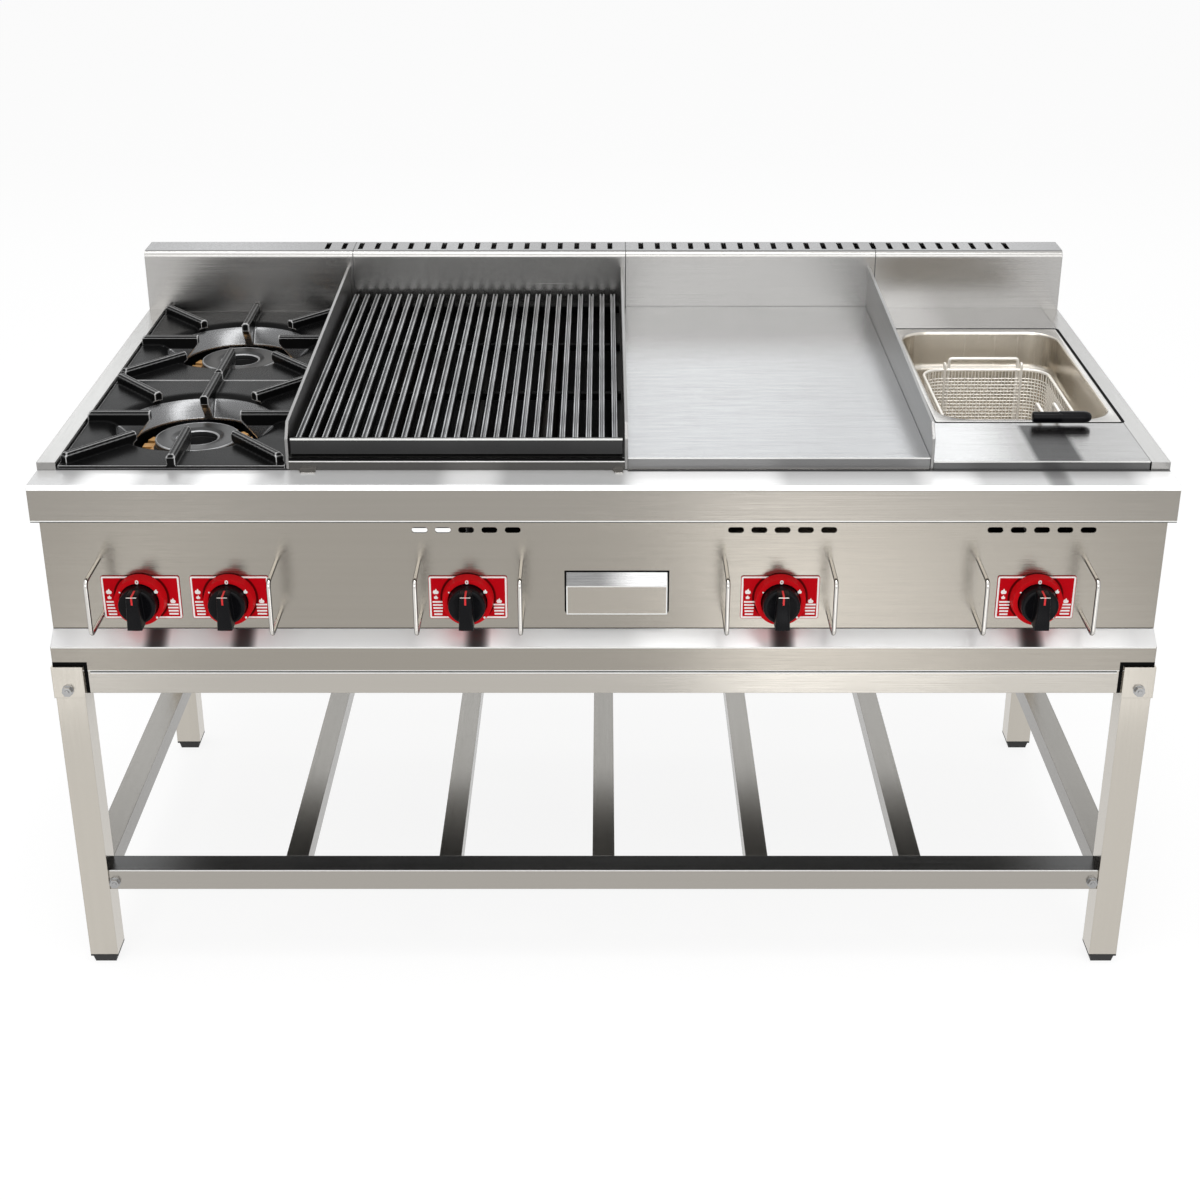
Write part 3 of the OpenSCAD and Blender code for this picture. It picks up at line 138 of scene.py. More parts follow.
class Finish:
    """A material and its Principled shader."""

    def __init__(self, name, **constants):
        self.material = bpy.data.materials.new(name)
        self.material.use_nodes = True
        self.tree = self.material.node_tree
        self.shader = self.tree.nodes["Principled BSDF"]
        for socket, value in constants.items():
            self.shader.inputs[socket.replace("_", " ").title()].default_value = value
        self.place = self.node("ShaderNodeTexCoord", output="Object")

    def node(self, kind, settings=None, inputs=None, output=0):
        made = self.tree.nodes.new(kind)
        for key, value in (settings or {}).items():
            setattr(made, key, value)
        for key, value in (inputs or {}).items():
            self.feed(made.inputs[key], value)
        return Wire(self, made.outputs[output])

    def feed(self, socket, value):
        if isinstance(value, Wire):
            self.tree.links.new(value.socket, socket)
        else:
            socket.default_value = value

    def set(self, socket, value):
        self.feed(self.shader.inputs[socket], value)

    def noise(self, scale, detail=2.0, stretch=(1, 1, 1), roughness=0.5):
        """Noise of about 1 / scale metres, with its coordinates stretched first."""
        spot = self.node("ShaderNodeMapping", {}, {"Vector": self.place, "Scale": stretch})
        return self.node("ShaderNodeTexNoise", {}, {"Vector": spot, "Scale": scale, "Detail": detail,
            "Roughness": roughness})

    def mix(self, factor, one, two):
        """A colour between two colours."""
        made = self.node("ShaderNodeMix", {"data_type": "RGBA"}, output=2)
        node = made.socket.node
        for index, value in ((0, factor), (6, one), (7, two)):
            if not isinstance(value, (Wire, float, int)):
                value = (*value, 1)
            self.feed(node.inputs[index], value)
        return made

    def bump(self, height, strength, distance, normal=None):
        inputs = {"Height": height, "Strength": strength, "Distance": distance}
        if normal is not None:
            inputs["Normal"] = normal
        return self.node("ShaderNodeBump", {}, inputs)

    def soft_edges(self, radius):
        return self.node("ShaderNodeBevel", {"samples": 4}, {"Radius": radius})


def grey(value, warm=0.0):
    """A linear grey, made warmer by a small amount."""
    return (value * (1 + warm), value, value * (1 - 1.6 * warm))


# %% [markdown]
# Brushed stainless shows fine parallel scratches along the way it was ground. They spread a reflection across
# the scratches and keep it sharp along them. Here the scratches are a noise drawn out along one axis: it drives
# a shallow bump, a little roughness and a faint change of tone.
#
# The zones below are a shortcut. They paint light bands, streaks and shades where one photograph shows
# reflections, so they are only right from its side and stay in place when a knob or the basket moves. Real
# reflections would come from the shader and the lamps alone.


# %% Brushed steel
ALONG = {"x": (0.004, 1, 1), "y": (1, 0.004, 1), "z": (1, 1, 0.004)}


def brushed(name, along, tone, warm, rough, depth=0.35, edge=0.0012, stain=0.05, zones=None):
    """Brushed sheet. Each zone is a mask of painted light and shade, with the tone, roughness and metallic share that
    the sheet is given there.
    """
    steel = Finish(name, metallic=1.0)
    fine = steel.noise(900.0, 3.0, ALONG[along], 0.7)
    broad = steel.noise(130.0, 3.0, ALONG[along], 0.6)
    cloud = steel.noise(3.0, 3.0)
    shade = (fine * 0.5 + broad * 0.5 - 0.5) * 0.5 + (cloud - 0.5) * stain + 0.5
    colour = steel.mix(shade, grey(tone * 0.86, warm), grey(tone * 1.12, warm * 0.9))
    spread = (fine - 0.5) * 0.16 + (cloud - 0.5) * 0.08 + rough
    share = 1.0
    for mask, zone_tone, zone_rough, zone_share in zones(steel) if zones else ():
        colour = steel.mix(mask, colour, grey(zone_tone))
        spread = spread * (1 - mask) + mask * zone_rough
        share = (1 - mask) * share + mask * zone_share
    steel.set("Metallic", share)
    steel.set("Base Color", colour)
    steel.set("Roughness", spread)
    lines = fine * 0.65 + broad * 0.35
    steel.set("Normal", steel.bump(lines, depth, 0.0004, steel.soft_edges(edge)))
    return steel.material


def coordinate(finish, axis):
    """The place of a point along X, Y or Z, in metres of the piece's own space."""
    return finish.node("ShaderNodeSeparateXYZ", {}, {"Vector": finish.place}, "XYZ".index(axis))


def near(value, centre, reach):
    """1 at the centre, easing to 0 at the given reach on both sides."""
    return 1 - ((value - centre) * (value - centre) * 1e4).smooth(0, reach * reach * 1e4)


LEDGE_BANDS_X, LEDGE_BAND_REACH = (-0.655, -0.19, 0.10, 0.21, 0.65), 0.075
LEDGE_STREAKS_X, LEDGE_STREAK_REACH = (-0.607, -0.4888, -0.172, 0.2427, 0.5799), 0.021
STRIP_BANDS_X, STRIP_BAND_REACH = (-0.649, -0.495, -0.173, 0.070, 0.135, 0.195, 0.4516, 0.735), 0.050
STRIP_STREAK_X, STRIP_STREAK_REACH = 0.596, 0.020
SPLASH_JOINTS_X, SPLASH_JOINT_REACH = (-0.4095, 0.0361, 0.4445), 0.0009
FRYER_PATCH_X, FRYER_PATCH_REACH = 0.450, 0.12
FRYER_STREAK_X, FRYER_STREAK_REACH = 0.604, 0.036


def ledge_zone(steel):
    """The sloping ledge over the lower band: made lighter and less metallic as a painted highlight, with painted
    light bands and a painted streak for each knob's reflection.
    """
    side, height = coordinate(steel, "X"), coordinate(steel, "Z")
    slope = height.smooth(0.5145, 0.5152) * (1 - height.smooth(0.5305, 0.5312))
    bands = sum(near(side, x, LEDGE_BAND_REACH) for x in LEDGE_BANDS_X).clamp()
    streaks = sum(near(side, x, LEDGE_STREAK_REACH) for x in LEDGE_STREAKS_X)
    return [(slope, 0.76, 0.35, 0.25), (slope * bands, 0.97, 0.35, 0.35), (slope * streaks, 0.05, 0.3, 0.2)]


def lip_zone(steel):
    """The drawer's sloping lip: a painted change from dark to bright."""
    lip = coordinate(steel, "Z").smooth(0.5985, 0.5995)
    return [(lip, 0.26, 0.16, 1.0), (lip * coordinate(steel, "X").smooth(-0.010, 0.050), 0.85, 0.16, 1.0)]


def strip_zones(steel):
    """The strip along the deck's front: a lighter, less metallic top as a painted highlight, painted light bands, a
    painted reflection streak, painted shade at its back edge and a painted highlight on the rounded crest.
    """
    side, depth, height = (coordinate(steel, axis) for axis in "XYZ")
    top = height.smooth(0.7524, 0.7532)
    bands = sum(near(side, x, STRIP_BAND_REACH) for x in STRIP_BANDS_X).clamp()
    contact = top * depth.smooth(-0.3480, -0.3415) * side.smooth(0.030, 0.034)
    crest = height.smooth(0.7474, 0.7486) * (1 - depth.smooth(-0.3945, -0.3920))
    streak = near(side, STRIP_STREAK_X, STRIP_STREAK_REACH)
    return [(top, 0.58, 0.35, 0.35), (top * bands, 0.95, 0.35, 0.3), (top * streak, 0.22, 0.35, 0.4),
        (contact, 0.08, 0.4, 0.5), (crest, 0.95, 0.32, 0.9)]


def splash_zones(steel):
    """The splash's top is darker than its face: painted shade. Fine dark joint lines cross it where its skins meet.
    """
    side, height = coordinate(steel, "X"), coordinate(steel, "Z")
    joints = sum(near(side, x, SPLASH_JOINT_REACH) for x in SPLASH_JOINTS_X)
    return [(height.smooth(0.8610, 0.8616), 0.23, 0.2, 1.0), (joints, 0.06, 0.5, 1.0)]


def fryer_zones(steel):
    """The fryer's top: painted dark front face, light patch, and a streak for the handle's reflection."""
    side, depth, height = (coordinate(steel, axis) for axis in "XYZ")
    face = (1 - height.smooth(0.7640, 0.7652)) * (1 - depth.smooth(-0.3385, -0.3375))
    streak = (near(side, FRYER_STREAK_X, FRYER_STREAK_REACH) * 2.2).clamp() * (1 - depth.smooth(-0.205, -0.198))
    patch = near(side, FRYER_PATCH_X, FRYER_PATCH_REACH)
    return [(patch, 0.52, 0.2, 1.0), (streak, 0.012, 0.25, 1.0), (face, 0.11, 0.3, 1.0)]


def plate_zones(steel):
    """Painted shade: the griddle plate's front edge is darker than its ground top."""
    return [(1 - coordinate(steel, "Y").smooth(-0.3358, -0.3350), 0.20, 0.3, 1.0)]


def rail_zones(steel):
    """The lower rail's top face is painted dark, as if it mirrored the underside."""
    return [(coordinate(steel, "Z").smooth(0.1572, 0.1577), 0.08, 0.25, 1.0)]


# The same stainless gets a different tone on each group of parts: painted light and shade, lighter where a group
# looks lit and darker where it looks shaded.
STEEL_X = brushed("stainless_brushed_across", "x", 0.43, 0.03, 0.15, 0.5)
DECK = brushed("stainless_deck_front", "x", 0.30, 0.07, 0.15, 0.5, zones=strip_zones)
PANEL = brushed("stainless_panel", "x", 0.30, 0.08, 0.17, 0.5, zones=ledge_zone)
DRAWER = brushed("stainless_drawer", "x", 0.36, 0.08, 0.17, 0.5, zones=lip_zone)
SPLASH = brushed("stainless_splash", "x", 0.43, 0.02, 0.24, 0.5, zones=splash_zones)
FRYER_SHEET = brushed("stainless_fryer_top", "x", 0.30, 0.01, 0.16, 0.5, zones=fryer_zones)
STAND_X = brushed("stainless_stand_rail", "x", 0.44, 0.06, 0.17, 0.5)
LOW_RAIL = brushed("stainless_low_rail", "x", 0.36, 0.06, 0.17, 0.5, zones=rail_zones)
SIDE_SHEET = brushed("stainless_side_sheet", "y", 0.32, 0.02, 0.15, 0.5)
SHELF = brushed("stainless_shelf", "y", 0.20, 0.05, 0.2, 0.5)
LEG_STEEL = brushed("stainless_leg", "z", 0.50, 0.07, 0.17, 0.4)
GUARD_STEEL = brushed("guard_sheet", "y", 0.27, 0.01, 0.32)
GRIDDLE = brushed("ground_griddle", "x", 0.41, -0.01, 0.2, depth=0.6, stain=0.1, zones=plate_zones)
UNDERSIDE = brushed("underside_sheet", "x", 0.10, 0.04, 0.35, 0.3)


# %% [markdown]
# The firebox is the same sheet, but its inside is near black: partly sooted by the fire and partly painted shade
# under the
# grate. The black follows the depth: it is thick behind the front wall and ends within a few millimetres of it, so
# only the front face and its top edge stay bare.

# %% Sooted firebox
soot_and_shade = Finish("sooted_and_shaded_firebox")
across = soot_and_shade.noise(900.0, 3.0, ALONG["x"], 0.7)
inward = coordinate(soot_and_shade, "Y")
clean = 1 - (inward + (soot_and_shade.noise(30.0, 3.0) - 0.5) * 0.004).smooth(-0.3375, -0.3350)
soot_and_shade.set("Base Color", soot_and_shade.mix(clean, grey(0.006, 0.1), grey(0.085, 0.03)))
soot_and_shade.set("Metallic", clean)
soot_and_shade.set("Roughness", 0.7 - clean * 0.5 + (across - 0.5) * 0.1)
soot_and_shade.set("Normal", soot_and_shade.bump(across, 0.4, 0.0004, soot_and_shade.soft_edges(0.0012)))
FIREBOX = soot_and_shade.material

# %% [markdown]
# Cast iron has a fine grain from the sand mould. An enamelled grate is nearly black, with light edges that are partly
# rubbed and partly a painted highlight. Its bowls are painted brighter too, as a painted reflection. The
# charbroiler's bars are seasoned black, with their lands light: partly worn to bare metal and partly a painted
# highlight.


# %% Cast iron
def cast(name, tone, rough, grain=0.5, edge_tone=0.0, edge=0.0016, shine=0.3, metallic=0.0, bowl=None):
    """Cast iron. Points marked as worn edges get the edge tone, partly wear and partly a painted highlight, and a
    bowl gives a mask where a painted reflection makes it bright.
    """
    iron = Finish(name, metallic=metallic)
    iron.shader.inputs["Specular IOR Level"].default_value = shine
    sand = iron.noise(700.0, 3.0, roughness=0.6)
    cloud = iron.noise(14.0, 3.0)
    base = iron.mix(cloud.smooth(0.35, 0.7), grey(tone * 0.8, -0.01), grey(tone * 1.25, -0.01))
    if bowl:
        # Painted reflection: the bowls are made brighter and more metallic.
        painted_bowl_reflection = bowl(iron)
        base = iron.mix(painted_bowl_reflection, base, grey(0.19, -0.01))
        iron.set("Metallic", painted_bowl_reflection * 0.8)
    if edge_tone:
        # Light edges: partly rubbed enamel and partly a painted highlight.
        worn_and_highlit = iron.node("ShaderNodeAttribute", {"attribute_name": "wear_and_highlight"}, output=2)
        base = iron.mix((worn_and_highlit * (0.75 + (sand - 0.5))).clamp(), base, grey(edge_tone, 0.0))
    iron.set("Base Color", base)
    iron.set("Roughness", (sand - 0.5) * 0.25 + (cloud - 0.5) * 0.2 + rough)
    iron.set("Normal", iron.bump(sand, grain, 0.0003, iron.soft_edges(edge)))
    return iron.material


def burner_bowls(iron):
    """The bowls of both open burners, below the plate's face: the mask of their painted reflection."""
    side, depth, height = (coordinate(iron, axis) for axis in "XYZ")
    across = side + 0.5725
    along = (depth - 0.0145).math("ABSOLUTE") - 0.17725
    radius = (across * across + along * along).math("SQRT")
    return (1 - radius.smooth(0.1400, 0.1420)) * (1 - height.smooth(0.7545, 0.7551))


GRATE_IRON = cast("enamelled_grate", 0.005, 0.28, 0.15, 0.75, edge=0.0005, shine=0.04, bowl=burner_bowls)
CHAR_IRON = cast("seasoned_casting", 0.012, 0.34, 0.3, edge=0.0006, shine=0.35)
# Near black for burnt castings, also used as painted shade in gaps, under the grate and round the pan's rim.
BURNT_AND_SHADE_BLACK = cast("burnt_casting_and_painted_shade", 0.004, 0.7, 0.3, shine=0.05)
BAR_LAND = cast("rubbed_and_highlit_bar_lands", 0.50, 0.32, 0.2, edge=0.0004, metallic=0.9)
BAR_GROOVE = cast("bar_grooves", 0.24, 0.4, 0.2, edge=0.0004, metallic=0.8)
CAP_IRON = cast("burner_cap_casting", 0.035, 0.34, 0.4, shine=0.3)
CAP_RIM = cast("turned_cap_rims", 0.42, 0.35, 0.2, metallic=0.6)
HEAD_IRON = cast("burner_head_casting", 0.02, 0.5, 0.6)
# Painted shade: the radiant sheets under the bars are made near black.
RADIANT = cast("radiant_sheet", 0.006, 0.6, 0.3, shine=0.1)


# %% [markdown]
# The other finishes are simpler: brass, bright wire, red enamel, black phenolic, dark pipe and the oil-toned steel of
# the fryer pan. Each still has a slow change of tone and a little grain, as real surfaces have. Two things are
# painted light and shade: the guards' wire is darkened at its sides as a painted reflection, and a painted shadow
# lies round each red ring.


# %% Other finishes
def plain(name, colour, rough, metallic=0.0, vary=0.12, grain=0.1, scale=300.0, edge=None, shine=0.5, sides=0.0):
    """A plain finish. The given share is painted dark on faces that look left or right: a painted reflection that
    suggests a polished rod.
    """
    made = Finish(name, metallic=metallic)
    made.shader.inputs["Specular IOR Level"].default_value = shine
    cloud = made.noise(25.0, 3.0)
    fleck = made.noise(scale, 2.0)
    low = tuple(c * (1 - vary) for c in colour)
    high = tuple(min(1.0, c * (1 + vary)) for c in colour)
    base = made.mix(cloud, low, high)
    if sides:
        facing = made.node("ShaderNodeNewGeometry", output="Normal")
        across = made.node("ShaderNodeSeparateXYZ", {}, {"Vector": facing})
        base = made.mix((across * across).smooth(0.30, 0.75) * sides, base, (0.02, 0.02, 0.02))
    made.set("Base Color", base)
    made.set("Roughness", (fleck - 0.5) * 0.12 + rough)
    made.set("Normal", made.bump(fleck, grain, 0.0002, made.soft_edges(edge) if edge else None))
    return made.material


BRASS = plain("turned_brass", (0.80, 0.52, 0.20), 0.25, 1.0, edge=0.0006)
PORT_BRASS = plain("port_brass", (0.80, 0.44, 0.15), 0.3, 0.35, edge=0.0006)
PAINTED_HIGHLIGHT = plain("painted_highlight_strip", (0.88, 0.88, 0.86), 0.4, 0.25, 0.05, 0.02)
WIRE = plain("bright_wire", (0.62, 0.60, 0.57), 0.14, 1.0, 0.08, 0.04, sides=0.9)
MESH_WIRE = plain("tinned_mesh_wire", (0.92, 0.89, 0.84), 0.3, 0.5, 0.05, 0.04)
BOLT = plain("zinc_bolt", (0.36, 0.36, 0.36), 0.22, 1.0, 0.1, 0.1, edge=0.0005)
WHITE = plain("white_print", (0.95, 0.95, 0.93), 0.45, 0.0, 0.03, 0.02)
BLACK = plain("black_phenolic", (0.003, 0.003, 0.004), 0.28, 0.0, 0.2, 0.08, 900.0, edge=0.0008, shine=0.12)
POINTER = plain("red_pointer", (0.72, 0.008, 0.010), 0.4, 0.0, 0.05, 0.02)
FOOT = plain("black_foot", (0.010, 0.010, 0.010), 0.5, 0.0, 0.2, 0.2, 500.0, edge=0.0012)
PIPE = plain("dark_pipe", (0.09, 0.09, 0.095), 0.42, 0.6, 0.2, 0.3, 400.0)
# The burner tubes are heat stained and made darker still as painted shade under the grate and plates.
BURNER_TUBE = plain("heat_stained_and_shaded_tube", (0.03, 0.025, 0.02), 0.5, 1.0, 0.35, 0.3, 200.0)
TRAY = plain("dark_tray", (0.030, 0.030, 0.032), 0.45, 0.3, 0.3, 0.3, 200.0)

red = Finish("red_enamel")
red.shader.inputs["Specular IOR Level"].default_value = 0.03
red_side, red_depth, red_height = (coordinate(red, axis) for axis in "XYZ")
rise = red_height - 0.5785
# Painted shadow: a dark line round each red ring on the plate.
shade = sum(near(((red_side - x) * (red_side - x) + rise * rise).math("SQRT"), 0.0362, 0.0022)
    for x in (-0.6245, -0.5045, -0.182972, 0.238538, 0.58401))
front = 1 - red_depth.smooth(-0.3632, -0.3622)
red_paint = red.mix(front, (0.54, 0.002, 0.008), (0.74, 0.008, 0.014))
red.set("Base Color", red.mix(shade * (1 - front), red_paint, (0.10, 0.001, 0.002)))
red.set("Roughness", (red.noise(400.0, 2.0) - 0.5) * 0.1 + 0.42)
red.set("Normal", red.bump(red.noise(25.0, 3.0), 0.05, 0.0002, red.soft_edges(0.0006)))
RED = red.material
PAN = brushed("oiled_pan", "z", 0.61, 0.07, 0.24, 0.12, stain=0.2)

FINISH_OF = {}
for names, finish in (
        ("rear_panel griddle_box", STEEL_X), ("deck_front", DECK), ("control_panel", PANEL),
        ("grease_drawer", DRAWER),
        ("splash_left splash_right", SPLASH), ("fryer_top", FRYER_SHEET), ("bottom_pan", UNDERSIDE),
        ("upper_rail_front upper_rail_rear", STAND_X), ("lower_rail_front lower_rail_rear", LOW_RAIL),
        ("char_firebox", FIREBOX),
        ("side_panel_left side_panel_right drawer_runners", SIDE_SHEET),
        ("upper_side_rails lower_side_rails shelf_slats", SHELF),
        ("leg_front_left leg_front_right leg_rear_left leg_rear_right corner_brackets grease_chute", LEG_STEEL),
        ("guard_left guard_middle guard_right", GUARD_STEEL), ("griddle_plate", GRIDDLE),
        ("burner_tray", TRAY), ("burner_heads", HEAD_IRON), ("burner_cap_front burner_cap_rear", CAP_IRON),
        ("burner_grate_front burner_grate_rear", GRATE_IRON), ("char_grate", CHAR_IRON),
        ("char_radiants", RADIANT), ("char_burner griddle_burner fryer_burner", BURNER_TUBE),
        ("fryer_pan", PAN), ("fry_basket knob_guards", WIRE), ("frame_bolts", BOLT), ("leg_feet", FOOT),
        ("basket_handle knob_1 knob_2 knob_3 knob_4 knob_5", BLACK), ("gas_pipes", PIPE),
        ("gas_valves valve_stem_1 valve_stem_2 valve_stem_3 valve_stem_4 valve_stem_5", BRASS),
        ("dial_plates", RED)):
    for name in names.split():
        FINISH_OF[name] = finish
for name, node in NODES.items():
    for slot in node.material_slots:
        slot.material = FINISH_OF[name]
print("finished nodes:", len(FINISH_OF))


# %% [markdown]
# Every new piece is one mesh made of simple parts: tubes round a path, lathe-turned rings and lofted sections.
# A small builder collects their points and faces in drawing millimetres, and puts the finished mesh on its body.


# %% Mesh builder
class Piece:
    """Collects vertices and faces in drawing millimetres."""

    def __init__(self, name):
        self.name, self.points, self.faces, self.marks = name, [], [], []

    def add(self, points, faces, mark=0):
        start = len(self.points)
        self.points += [tuple(p) for p in points]
        self.faces += [tuple(start + i for i in face) for face in faces]
        self.marks += mark if isinstance(mark, list) else [mark] * len(faces)

    def loft(self, rings, caps=True, mark=0):
        """Skins a list of rings that all have the same number of points. A list of marks goes round the ring."""
        n = len(rings[0])
        faces = [(i * n + j, i * n + (j + 1) % n, (i + 1) * n + (j + 1) % n, (i + 1) * n + j)
            for i in range(len(rings) - 1) for j in range(n)]
        if isinstance(mark, list):
            mark = mark * (len(rings) - 1) + ([mark[0]] * 2 if caps else [])
        if caps:
            faces += [tuple(range(n))[::-1], tuple((len(rings) - 1) * n + j for j in range(n))]
        self.add([p for ring in rings for p in ring], faces, mark)

    def lathe(self, profile, centre, axis="z", sides=64, mark=0):
        """Turns a profile of (radius, height) points round the axis z, or y towards the front, through centre."""
        rings = []
        for k in range(sides):
            a = 2 * pi * k / sides
            ring = []
            for r, h in profile:
                if axis == "z":
                    p = (centre[0] + r * cos(a), centre[1] + r * sin(a), centre[2] + h)
                else:
                    p = (centre[0] + r * cos(a), centre[1] - h, centre[2] + r * sin(a))
                ring.append(p)
            rings.append(ring)
        rings.append(rings[0])
        self.loft(rings, caps=False, mark=mark)

    def tube(self, path, r, sides=8, closed=False, mark=0):
        """A round wire along a path of points."""
        path = [Vector(p) for p in path]
        count = len(path)
        rings = []
        guide = None
        for i in range(count):
            if closed:
                ahead = path[(i + 1) % count] - path[i - 1]
            else:
                ahead = path[min(i + 1, count - 1)] - path[max(i - 1, 0)]
            ahead.normalize()
            if guide is None:
                guide = ahead.orthogonal()
            guide = (guide - ahead * guide.dot(ahead)).normalized()
            side = ahead.cross(guide)
            rings.append([path[i] + (guide * cos(2 * pi * k / sides) + side * sin(2 * pi * k / sides)) * r
                for k in range(sides)])
        if closed:
            rings.append(rings[0])
        self.loft(rings, caps=not closed, mark=mark)

    def box(self, low, high, mark=0):
        x0, y0, z0 = low
        x1, y1, z1 = high
        self.loft([[(x0, y0, z0), (x1, y0, z0), (x1, y1, z0), (x0, y1, z0)],
            [(x0, y0, z1), (x1, y0, z1), (x1, y1, z1), (x0, y1, z1)]], mark=mark)

    def strip(self, x0, x1, y, z0, z1, mark=0):
        """A thin strip on an upright face whose front is at y."""
        self.box((x0, y - 0.2, z0), (x1, y + 0.3, z1), mark)

    def make(self, body, finishes, smooth=True, bevel=0.0):
        """Turns the collected points into an object on its body, with its finishes."""
        mesh = bpy.data.meshes.new(self.name)
        mesh.from_pydata([at(*p) for p in self.points], [], self.faces)
        for finish in finishes:
            mesh.materials.append(finish)
        for polygon, mark in zip(mesh.polygons, self.marks):
            polygon.material_index = mark
        work = bmesh.new()
        work.from_mesh(mesh)
        bmesh.ops.remove_doubles(work, verts=work.verts, dist=1e-7)
        bmesh.ops.recalc_face_normals(work, faces=work.faces)
        work.to_mesh(mesh)
        work.free()
        piece = bpy.data.objects.new(self.name, mesh)
        bpy.context.scene.collection.objects.link(piece)
        if bevel:
            trim = piece.modifiers.new("edges", "BEVEL")
            trim.width, trim.segments, trim.limit_method = bevel * MM, 2, "ANGLE"
            trim.angle_limit = radians(35)
        if smooth:
            mesh.shade_smooth()
            mesh.set_sharp_from_angle(angle=radians(38))
        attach(piece, body)
        return piece


def arc(cx, cy, r, a0, a1, steps):
    """Points on an arc, angles in degrees."""
    return [(cx + r * cos(radians(a0 + (a1 - a0) * i / steps)), cy + r * sin(radians(a0 + (a1 - a0) * i / steps)))
        for i in range(steps + 1)]


def round_rect(w, l, r, steps=8):
    """Outline of a rounded rectangle, centred, counter-clockwise."""
    out = []
    for sx, sy, a in ((1, 1, 0), (-1, 1, 90), (-1, -1, 180), (1, -1, 270)):
        out += arc(sx * (w / 2 - r), sy * (l / 2 - r), r, a, a + 90, steps)
    return out


# %% [markdown]
# A casting has no sharp edge: the sand mould rounds them all. Copying the CAD solid, remeshing it into small even
# faces and smoothing them gives those soft edges at once, and the copy stands in for the solid.


# %% Cast grates
WEAR_AND_HIGHLIGHT_FROM, WEAR_AND_HIGHLIGHT_RANGE = 0.05, 0.09


def mark_wear_and_highlight(mesh):
    """Stores on each point how far it stands out from its neighbours, so that a finish can show light edges, partly
    rubbed and partly a painted highlight.
    """
    count = len(mesh.vertices)
    points, normals = np.empty(3 * count), np.empty(3 * count)
    mesh.vertices.foreach_get("co", points)
    mesh.vertices.foreach_get("normal", normals)
    ends = np.empty(2 * len(mesh.edges), dtype=np.int32)
    mesh.edges.foreach_get("vertices", ends)
    points, normals, a, b = points.reshape(-1, 3), normals.reshape(-1, 3), ends[0::2], ends[1::2]
    step = points[b] - points[a]
    step /= np.maximum(np.linalg.norm(step, axis=1), 1e-9)[:, None]
    meets = np.bincount(a, minlength=count) + np.bincount(b, minlength=count)
    out = np.bincount(a, -(step * normals[a]).sum(axis=1), count)
    out += np.bincount(b, (step * normals[b]).sum(axis=1), count)
    out /= np.maximum(meets, 1)
    wear_and_highlight = mesh.attributes.new("wear_and_highlight", "FLOAT", "POINT")
    wear_and_highlight.data.foreach_set("value", np.clip((out - WEAR_AND_HIGHLIGHT_FROM) / WEAR_AND_HIGHLIGHT_RANGE, 0, 1).astype(np.float32))
    print("worn points:", int((out > WEAR_AND_HIGHLIGHT_FROM).sum()), "of", count)


def soften(node, name, voxel, finish):
    """A smoothed copy of a CAD node that stands in for it."""
    mesh = NODES[node].data.copy()
    mesh.name = name
    piece = bpy.data.objects.new(name, mesh)
    bpy.context.scene.collection.objects.link(piece)
    remesh = piece.modifiers.new("remesh", "REMESH")
    remesh.mode, remesh.voxel_size, remesh.use_smooth_shade = "VOXEL", voxel * MM, True
    ease = piece.modifiers.new("ease", "SMOOTH")
    ease.factor, ease.iterations = 0.5, 1
    view = bpy.context.evaluated_depsgraph_get()
    solid = bpy.data.meshes.new_from_object(piece.evaluated_get(view))
    piece.modifiers.clear()
    piece.data = solid
    solid.materials.clear()
    solid.materials.append(finish)
    solid.shade_smooth()
    mark_wear_and_highlight(solid)
    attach(piece, BODY_OF[node])
    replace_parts(piece, node)
    print(name, len(solid.polygons), "faces")
    return piece


for end in ("front", "rear"):
    soften(f"burner_grate_{end}", f"cast_grate_{end}", 1.2, GRATE_IRON)

# %% [markdown]
# The burner caps are turned rings with softened rims. A profile of radius and height is turned round the burner's
# axis, which gives exact circles with few faces.

# %% Burner caps and brass port rings
BURNER_X = -572.5
BURNER_YS = {"front": 235.25, "rear": 589.75}
CAP_TOP = 737.0
CAP_PROFILE = [(27.5, -8), (28.5, -10), (57, -10), (59, -8.2), (59, -2.4), (58.3, -0.9), (56.6, -0.2), (54, 0),
    (38, 0), (36, -0.3), (34.5, -1.2), (29.5, -2.6), (28, -3.4)]
CAP_RIMS = ([(57.0, -0.5), (57.2, 0.15), (58.6, -0.6), (59.3, -1.8), (58.6, -2.4)],
    [(28.2, -4.2), (27.6, -3.4), (29.4, -2.1), (30.4, -2.0), (30.2, -3.2)])
TEETH = 18
for end, y in BURNER_YS.items():
    cap = Piece(f"cap_{end}")
    cap.lathe(CAP_PROFILE, (BURNER_X, y, CAP_TOP), sides=96)
    for rim_profile in CAP_RIMS:
        cap.lathe(rim_profile, (BURNER_X, y, CAP_TOP), sides=96, mark=1)
    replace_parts(cap.make(BODY_OF[f"burner_cap_{end}"], [CAP_IRON, CAP_RIM]), f"burner_cap_{end}")
    ports = Piece(f"port_ring_{end}")
    ports.lathe([(60, -24), (69, -24), (70, -22), (67, -15.5), (63, -13.5), (60, -13.5)], (BURNER_X, y, CAP_TOP),
        sides=96)
    for k in range(TEETH):
        a = 2 * pi * k / TEETH
        radial, side = Vector((cos(a), sin(a), 0)), Vector((-sin(a), cos(a), 0))
        base = Vector((BURNER_X, y, CAP_TOP - 22))
        ring = [base + radial * r + side * s + Vector((0, 0, h))
            for r, s, h in ((66, -6.4, 0), (80, -7.4, 0), (80, 7.4, 0), (66, 6.4, 0))]
        ports.loft([ring, [p + Vector((0, 0, 9)) - radial * 2.5 for p in ring]])
    ports.make("range", [PORT_BRASS], bevel=0.5)
print("caps and port rings made")

